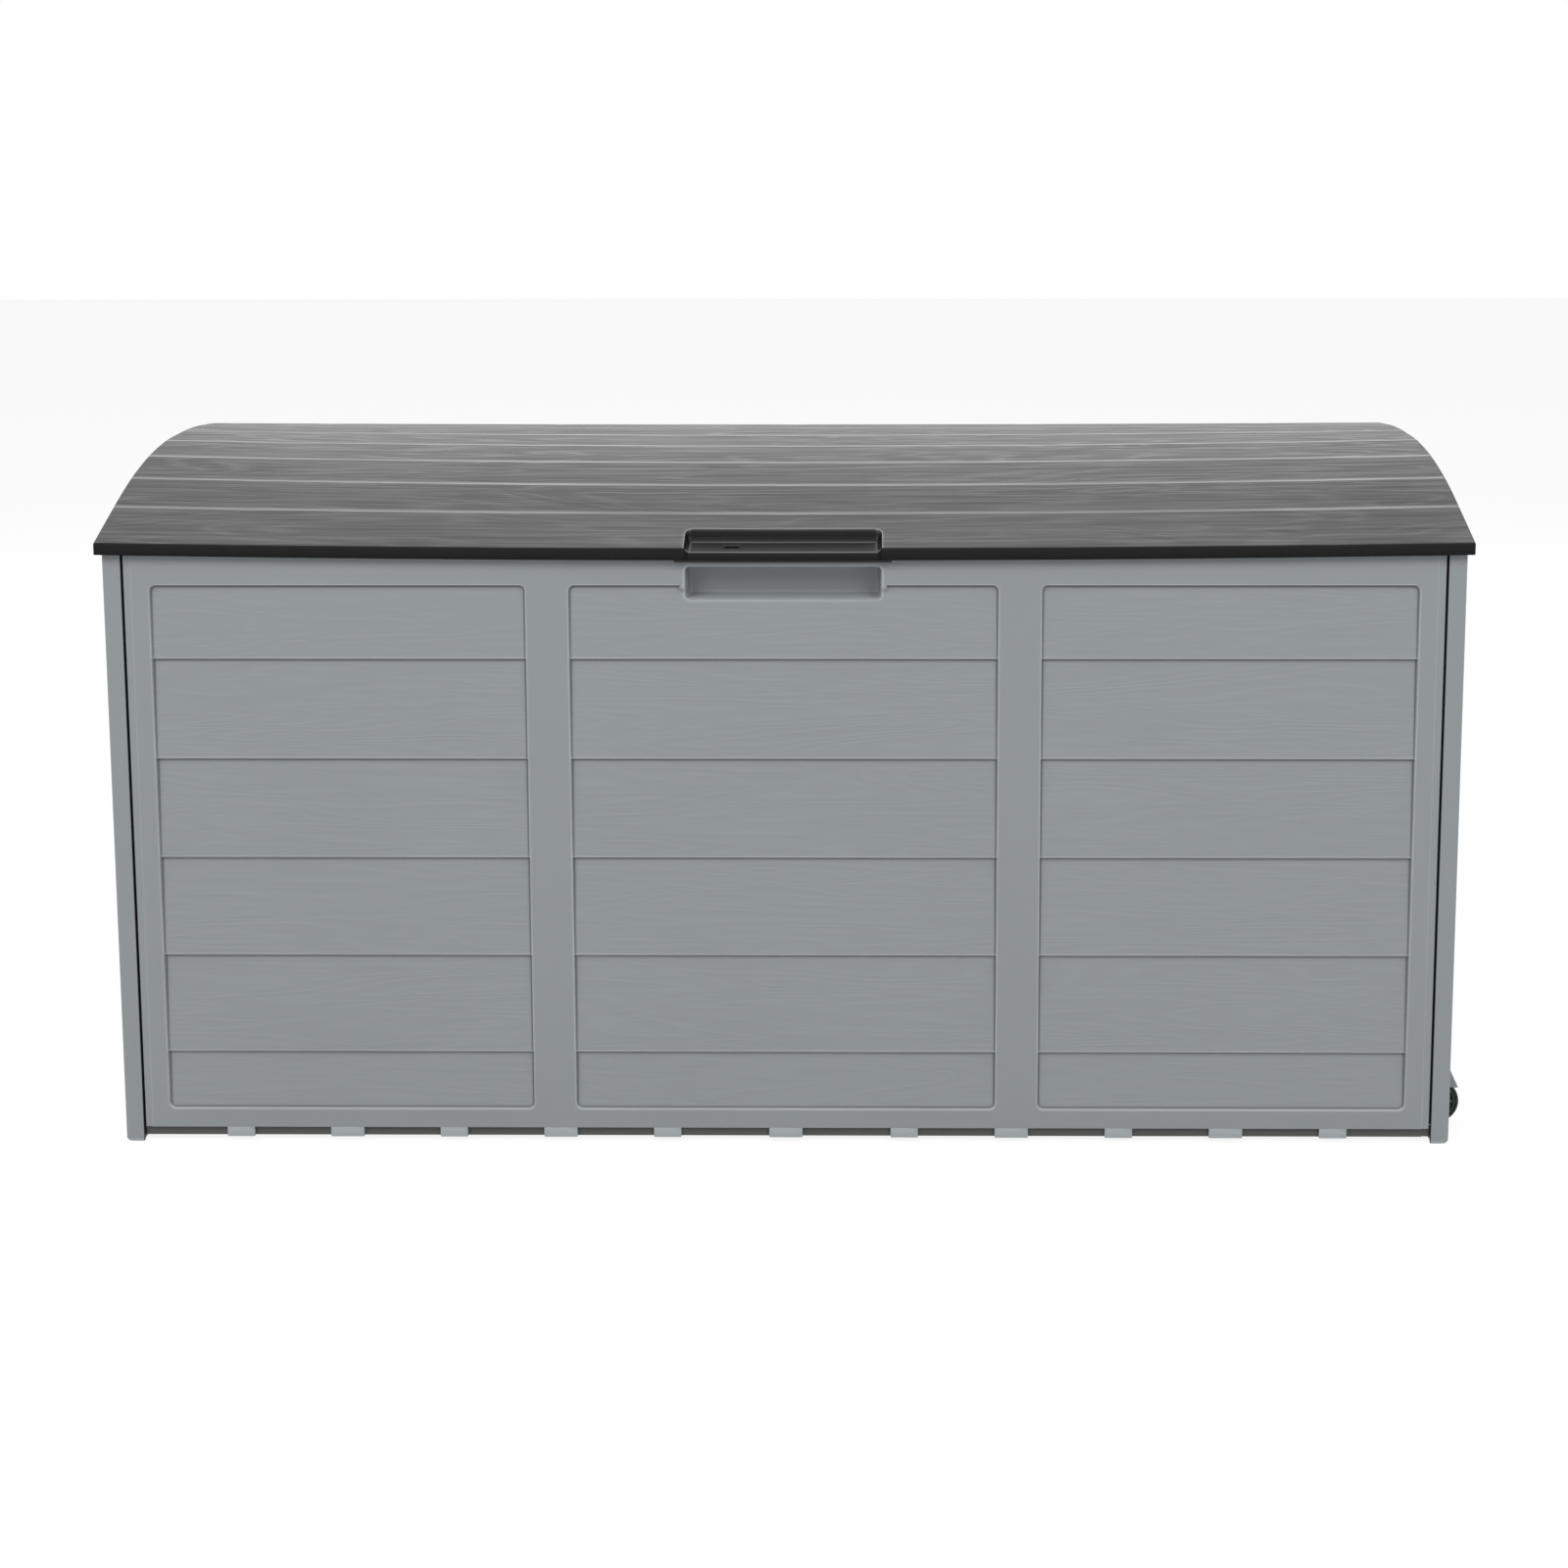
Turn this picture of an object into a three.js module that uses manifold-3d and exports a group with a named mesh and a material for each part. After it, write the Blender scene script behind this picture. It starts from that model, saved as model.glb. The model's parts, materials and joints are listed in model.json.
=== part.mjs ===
// Deck storage box: clapboard side panels that slot together, an arched plank lid on four
// rear hinges, a floor panel, and two small wheels under the right-hand end.
// Millimetres, +Z up. The front faces -Y. The box stands on its two end panels at z = 0.
import * as THREE from "three";
import { mergeVertices } from "three/addons/utils/BufferGeometryUtils.js";
import Module from "manifold-3d";

const wasm = await Module();
wasm.setup();

// ---------------------------------------------------------------- driving dimensions
const lidLength = 1120;
const lidDepth = 490;
const boxHeight = 578; // ground to the flat of the middle lid plank

const lidRadius = 460; // radius of the arch at the lid's outside
const lidPlank = 45.4; // width of one lid plank along the arch
const leastEdgePlank = 20; // the two outermost planks are never narrower than this
const eavesAngle = THREE.MathUtils.degToRad(24.3); // slope of the outermost planks
const leastChord = 1; // shortest line in the arch
const lidWall = 3.5;
const rimHeight = 10.8;
const rimWall = 3;
const endOverhang = 4.1; // lid past the end panels
const sideOverhang = 5.9; // lid past the front and back panels
const lidGap = 0.5; // closed lid above the end panels
const lidRibs = 5;
const lidRibDepth = 12;
const lidRibWall = 3;
const lidRibPlay = 3; // rib ends to the panels' flanges

const trayHalf = 80.3; // lifting ledge in the lid's front edge
const trayDepth = 25;
const trayDrop = 9; // ledge below the plank at its back wall
const trayFall = 7; // ledge slopes down to the front by this much
const trayWall = 3;
const apronPast = 8.2; // apron under the ledge, past its ends
const apronDrop = 1.9; // apron below the rim
const apronSet = 0.5; // apron behind the rim's face
const lockHoleX = -42;
const lockHoleHalf = 3.4;
const lockHoleRadius = 3.2;

const panelWall = 4; // rails of the side panels
const plankWall = 3;
const plankProud = 1; // lower edge of a clapboard behind the rail face
const plankBack = 3.5; // upper edge of a clapboard behind the rail face
const clapboard = 83.9; // pitch of the clapboards
const firstLine = 78.2; // lowest clapboard line above the ground
const fieldBottom = 28.5;
const fieldCorner = 5.5;
const outerStile = 20.4; // panel end to the first field
const middleStile = 34.6; // between two fields
const middleField = 352; // length of the middle field
const topRail = 24.7;
const panelFoot = 12.2; // underside of the front and back panels
const underRim = 1.2; // top of the front and back panels below the lid's rim
const flangeWall = 3;
const flangeDepth = 12;

const gripHalf = 81.2; // finger recess in the front panel
const gripHeight = 29.6;
const gripBelowTop = 8.4;
const gripDepth = 20;
const gripCorner = 5;
const handleHalf = 62; // hand recess in each end panel
const handleHeight = 34;
const handleDepth = 22;
const handleCentre = 395; // above the ground
const handleCorner = 12;

const postLength = 14.9; // end panel's return along the front
const postDepth = 18;
const postCorner = 4.5;
const seam = 2; // gap between a post and the front or back panel
const tongueLength = 9;
const tongueWall = 4;
const fit = 0.3; // between pieces that slot together
const endRail = 27; // end panel's rails
const endTopRail = 42;

const tabFirst = 99.5; // middle tab to the next one, on the front and back panels' lower edge
const tabPitch = 89.9; // between the others
const tabHalfWide = 14;
const tabHalfNarrow = 11.5;
const tabsEachSide = 5;
const tabFoot = 4;
const tabWall = 3;

const floorTop = 11.6;
const floorFoot = 4.2;
const floorWall = 3.2;
const floorRibFoot = 2.2;
const floorRibPlay = 1; // ribs to the ledges and the edges
const floorRibsAlong = 3;
const floorRibsAcross = 7;
const ledgeDepth = 24; // ledge on each end panel, under the floor

const hingeCount = 4;
const hingeInset = 110; // outer hinges from the lid's ends
const hingeReach = 9; // hinge axis behind the lid's rim
const hingeDrop = 1.7; // hinge axis below the rim
const eyeRadius = 6.5;
const pinRadius = 2.4;
const pinPlay = 0.3;
const panelLug = 8;
const lidLug = 14;
const lugGap = 0.5;
const pinHead = 4.2;
const pinHeadLength = 2;
const pinBevel = 0.6;
const pinTail = 1; // pin past the last lug
const eyeInside = 0.98; // lug arms meet the eyes just inside their facets
const armAngle = THREE.MathUtils.degToRad(38.7); // lid lug's underside meets its eye here
const armFoot = 23.4; // panel lug's foot below the hinge axis
const heelBehind = 3; // heel behind the hinge axis
const heelBefore = 2;
const lidOpening = THREE.MathUtils.degToRad(100);

const wheelRadius = 18.8;
const wheelWidth = 22;
const wheelLift = 0.6; // tyre above the ground while the box stands level
const wheelOut = 0.4; // axle outside the end panel's face
const wheelInset = 47.1; // axle's middle behind the body's front, and before its back
const hubRadius = 15.6;
const hubBoss = 2.5; // wall round the axle
const hubRim = 2;
const hubDish = 3;
const hubInset = 0.6; // hub's face inside the tyre's
const tyreShoulder = 2.2;
const wheelGap = 1; // wheel to its bracket
const cheekWall = 2.5;
const fenderWall = 1.3;
const fenderAngle = THREE.MathUtils.degToRad(24.8); // fender's normal above the horizontal
const bracketPlate = 2.2;
const plateAbove = 6; // plate above the axes of its screws
const bracketSink = 1.2; // cheeks below the floor's top
const fenderLip = 6; // fender's end above the point level with its normal
const cheekPast = 3.5; // cheek's edge past the axle's head
const cheekCorner = 6; // cheek's upper corner above the fender's lower end
const axleRadius = 3;
const axleHead = 5.2;
const axleHeadLength = 1.6;
const headBevel = 0.8;
const capRadius = 5.6;
const capLength = 3.4;
const capWall = 1;
const screwRadius = 1.9;
const screwHead = 4;
const screwHeadLength = 1.8;
const screwLength = 9;
const screwHalfSpan = 9;
const screwAbove = 3.5; // bracket screws' heads above the fender
const screwTip = 1.5;

// ---------------------------------------------------------------- places worked out from them
const halfLength = lidLength / 2;
const halfDepth = lidDepth / 2;
const bodyX = halfLength - endOverhang;
const bodyY = halfDepth - sideOverhang;
const panelX = bodyX - postLength - seam; // end of the front and back panels

const archStep = lidPlank / lidRadius;
const grooves = Math.floor((halfDepth - leastEdgePlank) / lidPlank + 0.5);
const archCentre = boxHeight - lidRadius * Math.cos(archStep / 2);
const lastGroove = (grooves - 0.5) * archStep;
const rimTop =
  archCentre +
  lidRadius * Math.cos(lastGroove) -
  (halfDepth - lidRadius * Math.sin(lastGroove)) * Math.tan(eavesAngle);
const rimFoot = rimTop - rimHeight;
const panelTop = rimFoot - underRim;

const hingeY = halfDepth + hingeReach;
const hingeZ = rimFoot - hingeDrop;
const wheelX = bodyX + wheelOut;
const wheelY = bodyY - wheelInset;
const wheelZ = wheelRadius + wheelLift;
const bracketHalf = wheelWidth / 2 + wheelGap + cheekWall;
const bayHalf = bracketHalf + capLength + wheelGap;
const ledgeHalf = wheelY - bayHalf - fit;
const bayTop = wheelZ + wheelRadius + wheelGap + cheekWall + fit;
const bracketInner = wheelRadius + 2 * wheelGap + fenderWall;
const bracketFoot = wheelZ - floorTop + bracketSink; // below the axle
const fenderReach = wheelRadius + wheelGap + fenderWall;
const fenderX = fenderReach * Math.cos(fenderAngle);
const fenderZ = fenderReach * Math.sin(fenderAngle);
const plateOut = fit - wheelOut + bracketPlate; // bracket plate's face from the axle
const fenderSlope = Math.tan(fenderAngle);
const fenderTop = fenderZ + (fenderX - plateOut) / fenderSlope;
const screwHeight = fenderTop + screwHead + screwAbove; // above the axle
const deepInside = bodyX - 2 * ledgeDepth; // past everything at an end panel's foot

const bite = 1; // joined solids overlap by this much, and cutters reach this far past a face

// ---------------------------------------------------------------- solids
const boreSides = 12;
const rodSides = 16;
const hubSides = 24;
const wheelSides = 32;

function solidOf(geometry) {
  const bare = geometry.index ? geometry.toNonIndexed() : geometry.clone();
  bare.deleteAttribute("normal");
  bare.deleteAttribute("uv");
  const merged = mergeVertices(bare, 1e-4);
  return new wasm.Manifold(
    new wasm.Mesh({
      numProp: 3,
      vertProperties: merged.attributes.position.array,
      triVerts: new Uint32Array(merged.index.array),
    }),
  );
}

function geometryOf(solid) {
  const mesh = solid.getMesh();
  const geometry = new THREE.BufferGeometry();
  geometry.setAttribute("position", new THREE.BufferAttribute(mesh.vertProperties, 3));
  geometry.setIndex(new THREE.BufferAttribute(mesh.triVerts, 1));
  return geometry.toNonIndexed();
}

const join = (...solids) => solids.reduce((all, one) => all.add(one));
const cut = (solid, ...tools) => tools.reduce((left, tool) => left.subtract(tool), solid);

function box([x0, x1], [y0, y1], [z0, z1]) {
  const block = new THREE.BoxGeometry(x1 - x0, y1 - y0, z1 - z0);
  return solidOf(block.translate((x0 + x1) / 2, (y0 + y1) / 2, (z0 + z1) / 2));
}

const extruded = (shape, depth) =>
  new THREE.ExtrudeGeometry(shape, { depth, bevelEnabled: false, curveSegments: 5 });

function shapeOf(outline) {
  if (outline instanceof THREE.Shape) return outline;
  return new THREE.Shape(outline.map(([u, v]) => new THREE.Vector2(u, v)));
}

// A prism with its outline in Y and Z.
function alongX(outline, [x0, x1]) {
  const turn = new THREE.Matrix4().makeBasis(
    new THREE.Vector3(0, 1, 0),
    new THREE.Vector3(0, 0, 1),
    new THREE.Vector3(1, 0, 0),
  );
  return solidOf(extruded(shapeOf(outline), x1 - x0).applyMatrix4(turn).translate(x0, 0, 0));
}

// A prism with its outline in X and Z.
function alongY(outline, [y0, y1]) {
  const turned = extruded(shapeOf(outline), y1 - y0).rotateX(Math.PI / 2);
  return solidOf(turned.translate(0, y1, 0));
}

function rodX(radius, [x0, x1], y, z, sides = rodSides) {
  const rod = new THREE.CylinderGeometry(radius, radius, x1 - x0, sides).rotateZ(Math.PI / 2);
  return solidOf(rod.translate((x0 + x1) / 2, y, z));
}

function rodY(radius, [y0, y1], sides) {
  const rod = new THREE.CylinderGeometry(radius, radius, y1 - y0, sides);
  return solidOf(rod.translate(0, (y0 + y1) / 2, 0));
}

// A turned piece with its axis along Y.
function turned(profile, sides) {
  const points = profile.map(([radius, y]) => new THREE.Vector2(radius, y));
  return solidOf(new THREE.LatheGeometry(points, sides));
}

function roundedRect([u0, u1], [v0, v1], radius) {
  const shape = new THREE.Shape();
  shape.absarc(u1 - radius, v1 - radius, radius, 0, Math.PI / 2);
  shape.absarc(u0 + radius, v1 - radius, radius, Math.PI / 2, Math.PI);
  shape.absarc(u0 + radius, v0 + radius, radius, Math.PI, 1.5 * Math.PI);
  shape.absarc(u1 - radius, v0 + radius, radius, 1.5 * Math.PI, 2 * Math.PI);
  return shape;
}

const grown = ([a, b], by) => [a - by, b + by];

// ---------------------------------------------------------------- materials
const plastic = (colour, roughness) =>
  new THREE.MeshStandardMaterial({ color: colour, roughness, metalness: 0 });
const steel = (colour) =>
  new THREE.MeshStandardMaterial({ color: colour, roughness: 0.35, metalness: 1 });

const greyPanel = plastic(0x91969a, 0.5);
const darkLid = plastic(0x4b4b4d, 0.55);
const darkFloor = plastic(0x3c3c3b, 0.7);
const greyBracket = plastic(0x868a8c, 0.55);
const blackTyre = plastic(0x161616, 0.8);
const greenHub = plastic(0x25302c, 0.5);
const zincSteel = steel(0xb4b6b8);

// ---------------------------------------------------------------- the lid
// The arch from back to front of the lid, a given distance inside its outer face.
function archLine(inset, half) {
  const side = [];
  for (let i = 0; i < grooves; i++) {
    const angle = (i + 0.5) * archStep;
    const radius = lidRadius - inset;
    side.push([radius * Math.sin(angle), archCentre + radius * Math.cos(angle)]);
  }
  const eaves = rimTop - inset / Math.cos(eavesAngle);
  const kept = side.filter(([y]) => y < half - leastChord);
  kept.push([half, eaves + (halfDepth - half) * Math.tan(eavesAngle)]);
  const front = kept.map(([y, z]) => [-y, z]).reverse();
  return [...front, ...kept];
}

const lowered = (line, by) => line.map(([y, z]) => [y, z - by]);

const archHeight = (y) => {
  const line = archLine(0, halfDepth);
  const next = line.findIndex(([at]) => at >= y);
  const [[y0, z0], [y1, z1]] = [line[Math.max(next - 1, 0)], line[Math.max(next, 1)]];
  return z0 + ((y - y0) / (y1 - y0)) * (z1 - z0);
};

const trayBack = -halfDepth + trayDepth;
const trayBackZ = archHeight(trayBack) - trayDrop;
const trayFrontZ = trayBackZ - trayFall;

function trayBody() {
  const shell = [
    [-halfDepth, rimTop - bite],
    [-halfDepth, trayFrontZ - trayWall],
    [trayBack + trayWall, trayBackZ - trayWall],
    [trayBack + trayWall, archHeight(trayBack + trayWall) - bite],
  ];
  const apron = box(
    [-trayHalf - apronPast, trayHalf + apronPast],
    [-halfDepth + apronSet, -halfDepth + apronSet + rimWall],
    [rimFoot - apronDrop, rimFoot + bite],
  );
  return alongX(shell, [-trayHalf - trayWall, trayHalf + trayWall]).add(apron);
}

function trayCut() {
  const above = boxHeight;
  const front = -halfDepth - trayWall;
  const fallEach = trayFall / trayDepth;
  const outline = [
    [trayBack, above],
    [front, above],
    [front, trayFrontZ - fallEach * trayWall],
    [trayBack, trayBackZ],
  ];
  return alongX(outline, [-trayHalf, trayHalf]);
}

// A padlock's shackle goes through the ledge into the finger recess below it.
function lockHole() {
  const middle = (trayBack - halfDepth) / 2;
  const outline = roundedRect(
    grown([lockHoleX, lockHoleX], lockHoleHalf + lockHoleRadius),
    grown([middle, middle], lockHoleRadius),
    lockHoleRadius,
  );
  const foot = panelTop - gripBelowTop - 2 * bite;
  return solidOf(extruded(outline, boxHeight - foot).translate(0, 0, foot));
}

const hingePlaces = Array.from({ length: hingeCount }, (_, i) => {
  const outer = halfLength - hingeInset;
  return -outer + (i * 2 * outer) / (hingeCount - 1);
});

const hingeBore = (y) =>
  rodX(pinRadius + pinPlay, [-halfLength, halfLength], y, hingeZ, boreSides);

function lidHingeLug(x) {
  const reach = [x - lidLug / 2, x + lidLug / 2];
  const inside = halfDepth - rimWall / 2;
  const arm = eyeInside * eyeRadius;
  const outline = [
    [inside, rimFoot],
    [hingeY - arm * Math.cos(armAngle), hingeZ - arm * Math.sin(armAngle)],
    [hingeY, hingeZ + arm],
    [inside, rimTop - rimWall / 2],
  ];
  return alongX(outline, reach).add(rodX(eyeRadius, reach, hingeY, hingeZ));
}

function lidShell() {
  const section = [
    [-halfDepth, rimFoot],
    [-halfDepth + rimWall, rimFoot],
    ...archLine(lidWall, halfDepth - rimWall),
    [halfDepth - rimWall, rimFoot],
    [halfDepth, rimFoot],
    ...archLine(0, halfDepth).reverse(),
  ];
  let lid = alongX(section, [-halfLength, halfLength]);
  const arch = archLine(0, halfDepth);
  const skirt = [...lowered(arch, rimHeight), ...[...arch].reverse()];
  lid = join(
    lid,
    alongX(skirt, [-halfLength, -halfLength + rimWall]),
    alongX(skirt, [halfLength - rimWall, halfLength]),
  );
  const ribHalf = bodyY - panelWall - flangeDepth - lidRibPlay;
  const underside = archLine(lidWall, ribHalf);
  const rib = [...lowered(underside, lidRibDepth), ...lowered(underside, -bite).reverse()];
  for (let i = 0; i < lidRibs; i++) {
    const x = ((i + 0.5) / lidRibs - 0.5) * lidLength;
    lid = lid.add(alongX(rib, [x - lidRibWall / 2, x + lidRibWall / 2]));
  }
  lid = cut(lid.add(trayBody()), trayCut(), lockHole());
  for (const x of hingePlaces) lid = lid.add(lidHingeLug(x));
  return lid.subtract(hingeBore(hingeY));
}

// ---------------------------------------------------------------- clapboard fields
// The clapboards' section in depth and height, for a panel whose rail face is at `face` and
// whose inside lies towards `inward` (+1 or -1).
function clapboardSection(face, inward, [bottom, top]) {
  const outside = [];
  const lean = (plankBack - plankProud) / clapboard;
  let line = firstLine;
  while (line - clapboard > bottom) line -= clapboard;
  let foot = bottom;
  while (foot < top) {
    const edge = line > foot ? line : line + clapboard;
    const head = Math.min(edge, top);
    const start = edge - clapboard;
    outside.push([plankProud + (foot - start) * lean, foot]);
    outside.push([plankProud + (head - start) * lean, head]);
    foot = head;
    line = edge;
  }
  const inside = outside.map(([depth, z]) => [depth + plankWall, z]);
  const loop = [...outside, ...inside.reverse()].map(([depth, z]) => [face + inward * depth, z]);
  return inward > 0 ? loop.reverse() : loop;
}

// ---------------------------------------------------------------- front and back panels
// Built as the front panel stands: its rail face at y = -bodyY.
const frontFields = [
  [-panelX + outerStile, -middleField / 2 - middleStile],
  [-middleField / 2, middleField / 2],
  [middleField / 2 + middleStile, panelX - outerStile],
];

function longPanel() {
  const face = -bodyY;
  const inside = face + panelWall;
  const fieldTop = panelTop - topRail;
  let rails = box([-panelX, panelX], [face, inside], [panelFoot, panelTop]);
  let fields = null;
  for (const [x0, x1] of frontFields) {
    const opening = roundedRect([x0, x1], [fieldBottom, fieldTop], fieldCorner);
    rails = rails.subtract(alongY(opening, [face - bite, inside + bite]));
    const past = grown([fieldBottom, fieldTop], fieldCorner);
    const field = alongX(clapboardSection(face, 1, past), grown([x0, x1], fieldCorner));
    fields = fields ? fields.add(field) : field;
  }
  let panel = rails.add(fields);
  const flangeY = [inside - bite / 2, inside + flangeDepth];
  const between = [-panelX + fit, panelX - fit];
  panel = join(
    panel,
    box(between, flangeY, [panelTop - flangeWall, panelTop]),
    box(between, flangeY, [panelFoot, panelFoot + flangeWall]),
  );
  const stiles = [frontFields[0][1] + middleStile / 2, frontFields[1][1] + middleStile / 2];
  for (const x of [-panelX + outerStile / 2, ...stiles, panelX - outerStile / 2]) {
    const web = [x - flangeWall / 2, x + flangeWall / 2];
    panel = panel.add(box(web, flangeY, [panelFoot + bite, panelTop - bite]));
  }
  const tongueY = [face + panelWall, face + panelWall + tongueWall];
  for (const side of [-1, 1]) {
    const reach = [side * (panelX + seam + tongueLength), side * (panelX - outerStile / 2)];
    const tongue = [Math.min(...reach), Math.max(...reach)];
    panel = panel.add(box(tongue, tongueY, [panelFoot, panelTop]));
  }
  for (let i = -tabsEachSide; i <= tabsEachSide; i++) {
    const half = i % 2 ? tabHalfNarrow : tabHalfWide;
    const x = Math.sign(i) * (tabFirst + (Math.abs(i) - 1) * tabPitch);
    panel = panel.add(box([x - half, x + half], [face, face + tabWall], [tabFoot, panelFoot + bite]));
  }
  return panel;
}

function frontPanel() {
  const face = -bodyY;
  const z = [panelTop - gripBelowTop - gripHeight, panelTop - gripBelowTop];
  const recess = roundedRect([-gripHalf, gripHalf], z, gripCorner);
  const pocket = roundedRect(
    grown([-gripHalf, gripHalf], plankWall),
    grown(z, plankWall),
    gripCorner + plankWall,
  );
  const shell = alongY(pocket, [face + plankProud, face + gripDepth + plankWall]);
  return cut(longPanel().add(shell), alongY(recess, [face - bite, face + gripDepth]), lockHole());
}

// Two lugs for each hinge, with a heel that the open lid's rim leans on. The back panel is
// turned half round when it is placed, so here the lugs point to -Y.
function panelHingeLugs(x) {
  const inside = -bodyY + bite;
  const arm = [
    [-hingeY, hingeZ - eyeInside * eyeRadius],
    [inside, hingeZ - armFoot],
    [inside, hingeZ],
    [-hingeY, hingeZ],
  ];
  const opened = hingeReach - fit + heelBehind * Math.cos(lidOpening);
  const heel = opened / Math.sin(lidOpening);
  const near = lidLug / 2 + lugGap;
  const lugs = [-1, 1].map((side) => {
    const ends = [x + side * near, x + side * (near + panelLug)];
    const reach = [Math.min(...ends), Math.max(...ends)];
    return join(
      alongX(arm, reach),
      rodX(eyeRadius, reach, -hingeY, hingeZ),
      box(reach, [-hingeY - heelBehind, -hingeY + heelBefore], [hingeZ, hingeZ + heel]),
    );
  });
  return join(...lugs);
}

function backPanel() {
  let panel = longPanel();
  for (const x of hingePlaces) panel = panel.add(panelHingeLugs(x));
  return panel.subtract(hingeBore(-hingeY));
}

// ---------------------------------------------------------------- end panels
// Built as the right-hand end stands: its rail face at x = bodyX.
function endPanel(withWheels) {
  const inside = bodyX - panelWall;
  const topInset = lidWall + lidGap;
  const top = archLine(topInset, bodyY);
  const outline = [[-bodyY, 0], [bodyY, 0], ...[...top].reverse()];
  let panel = alongX(outline, [inside, bodyX]);

  const fieldHalf = bodyY - endRail;
  const fieldTop = lowered(archLine(topInset, fieldHalf), endTopRail);
  const opening = [[-fieldHalf, firstLine], [fieldHalf, firstLine], ...[...fieldTop].reverse()];
  panel = panel.subtract(alongX(opening, [inside - bite, bodyX + bite]));
  const section = clapboardSection(bodyX, -1, [firstLine - fieldCorner, boxHeight]);
  const boards = alongY(section, grown([-fieldHalf, fieldHalf], fieldCorner));
  const pastTop = lowered(archLine(topInset, fieldHalf + fieldCorner), endTopRail - fieldCorner);
  const past = [
    [-fieldHalf - fieldCorner, firstLine - fieldCorner],
    [fieldHalf + fieldCorner, firstLine - fieldCorner],
    ...[...pastTop].reverse(),
  ];
  panel = panel.add(boards.intersect(alongX(past, [inside - plankBack - plankWall, bodyX])));

  const archFlange = [...lowered(top, flangeWall), ...[...top].reverse()];
  panel = panel.add(alongX(archFlange, [inside - flangeDepth, inside + bite]));
  const grooveHalf = tongueWall / 2 + fit;
  const grooveY = bodyY - panelWall - tongueWall / 2;
  for (const side of [-1, 1]) {
    const across = [side * bodyY, side * (bodyY - postDepth)].sort((a, b) => a - b);
    const post = box([bodyX - postLength, bodyX - bite], across, [0, top[0][1]]);
    const groove = box(
      [bodyX - postLength - bite, bodyX - postLength + tongueLength + fit],
      grown([side * grooveY, side * grooveY], grooveHalf),
      [panelFoot - fit, panelTop + fit],
    );
    panel = panel.add(post).subtract(groove);
  }
  const ledge = [bodyX - ledgeDepth, bodyX - bite];
  panel = panel.add(box(ledge, [-ledgeHalf, ledgeHalf], [0, floorFoot - fit]));

  const handleZ = grown([handleCentre, handleCentre], handleHeight / 2);
  const handle = roundedRect([-handleHalf, handleHalf], handleZ, handleCorner);
  const pocket = roundedRect(
    grown([-handleHalf, handleHalf], plankWall),
    grown(handleZ, plankWall),
    handleCorner + plankWall,
  );
  panel = panel.add(alongX(pocket, [bodyX - handleDepth - plankWall, bodyX]));
  panel = panel.subtract(alongX(handle, [bodyX - handleDepth, bodyX + bite]));

  const footCorner = alongY(
    roundedRect([deepInside, bodyX], [0, 2 * boxHeight], postCorner),
    [-bodyY, bodyY],
  );
  const squareX = [deepInside, bodyX - postCorner];
  const squareInner = box(squareX, [-bodyY, bodyY], [0, boxHeight]);
  panel = panel.intersect(footCorner.add(squareInner));
  if (!withWheels) return panel;
  for (const side of [-1, 1]) {
    const middle = side * wheelY;
    const bay = grown([middle, middle], bayHalf);
    panel = panel.subtract(box([deepInside, bodyX + bite], bay, [-bite, bayTop]));
    for (const offset of [-screwHalfSpan, screwHalfSpan]) {
      const hole = [bodyX - 2 * panelWall, bodyX + bite];
      const at = wheelZ + screwHeight;
      panel = panel.subtract(rodX(screwRadius + fit, hole, middle + offset, at, boreSides));
    }
  }
  return panel;
}

// ---------------------------------------------------------------- floor
function floorPanel() {
  const halfX = bodyX - postLength - seam / 2;
  const halfY = bodyY - tabWall - fit;
  const x = [-halfX, halfX];
  const y = [-halfY, halfY];
  let floor = box(x, y, [floorTop - floorWall, floorTop]);
  for (const side of [-1, 1]) {
    const across = [side * halfY, side * (halfY - floorWall)].sort((a, b) => a - b);
    floor = floor.add(box(x, across, [floorFoot, floorTop - bite]));
    const along = [side * halfX, side * (halfX - floorWall)].sort((a, b) => a - b);
    floor = floor.add(box(along, y, [floorFoot, floorTop - bite]));
  }
  const ribX = bodyX - ledgeDepth - floorRibPlay;
  const ribY = halfY - floorWall - floorRibPlay;
  const web = floorWall / 2;
  for (let i = 0; i < floorRibsAlong; i++) {
    const at = ((i + 1) / (floorRibsAlong + 1) - 0.5) * 2 * ribY;
    floor = floor.add(box([-ribX, ribX], grown([at, at], web), [floorRibFoot, floorTop - bite]));
  }
  for (let i = 0; i < floorRibsAcross; i++) {
    const at = ((i + 0.5) / floorRibsAcross - 0.5) * 2 * ribX;
    floor = floor.add(box(grown([at, at], web), [-ribY, ribY], [floorRibFoot, floorTop - bite]));
  }
  for (const side of [-1, 1]) {
    const middle = side * wheelY;
    const outside = side * (halfY + bite);
    const inner = middle - side * bayHalf;
    const bay = [outside, inner].sort((a, b) => a - b);
    const notch = box([wheelX - bracketInner - fit, halfX + bite], bay, [0, boxHeight]);
    floor = floor.subtract(notch);
  }
  return floor;
}

// ---------------------------------------------------------------- wheels, about their own axle
const halfWheel = wheelWidth / 2;

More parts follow.
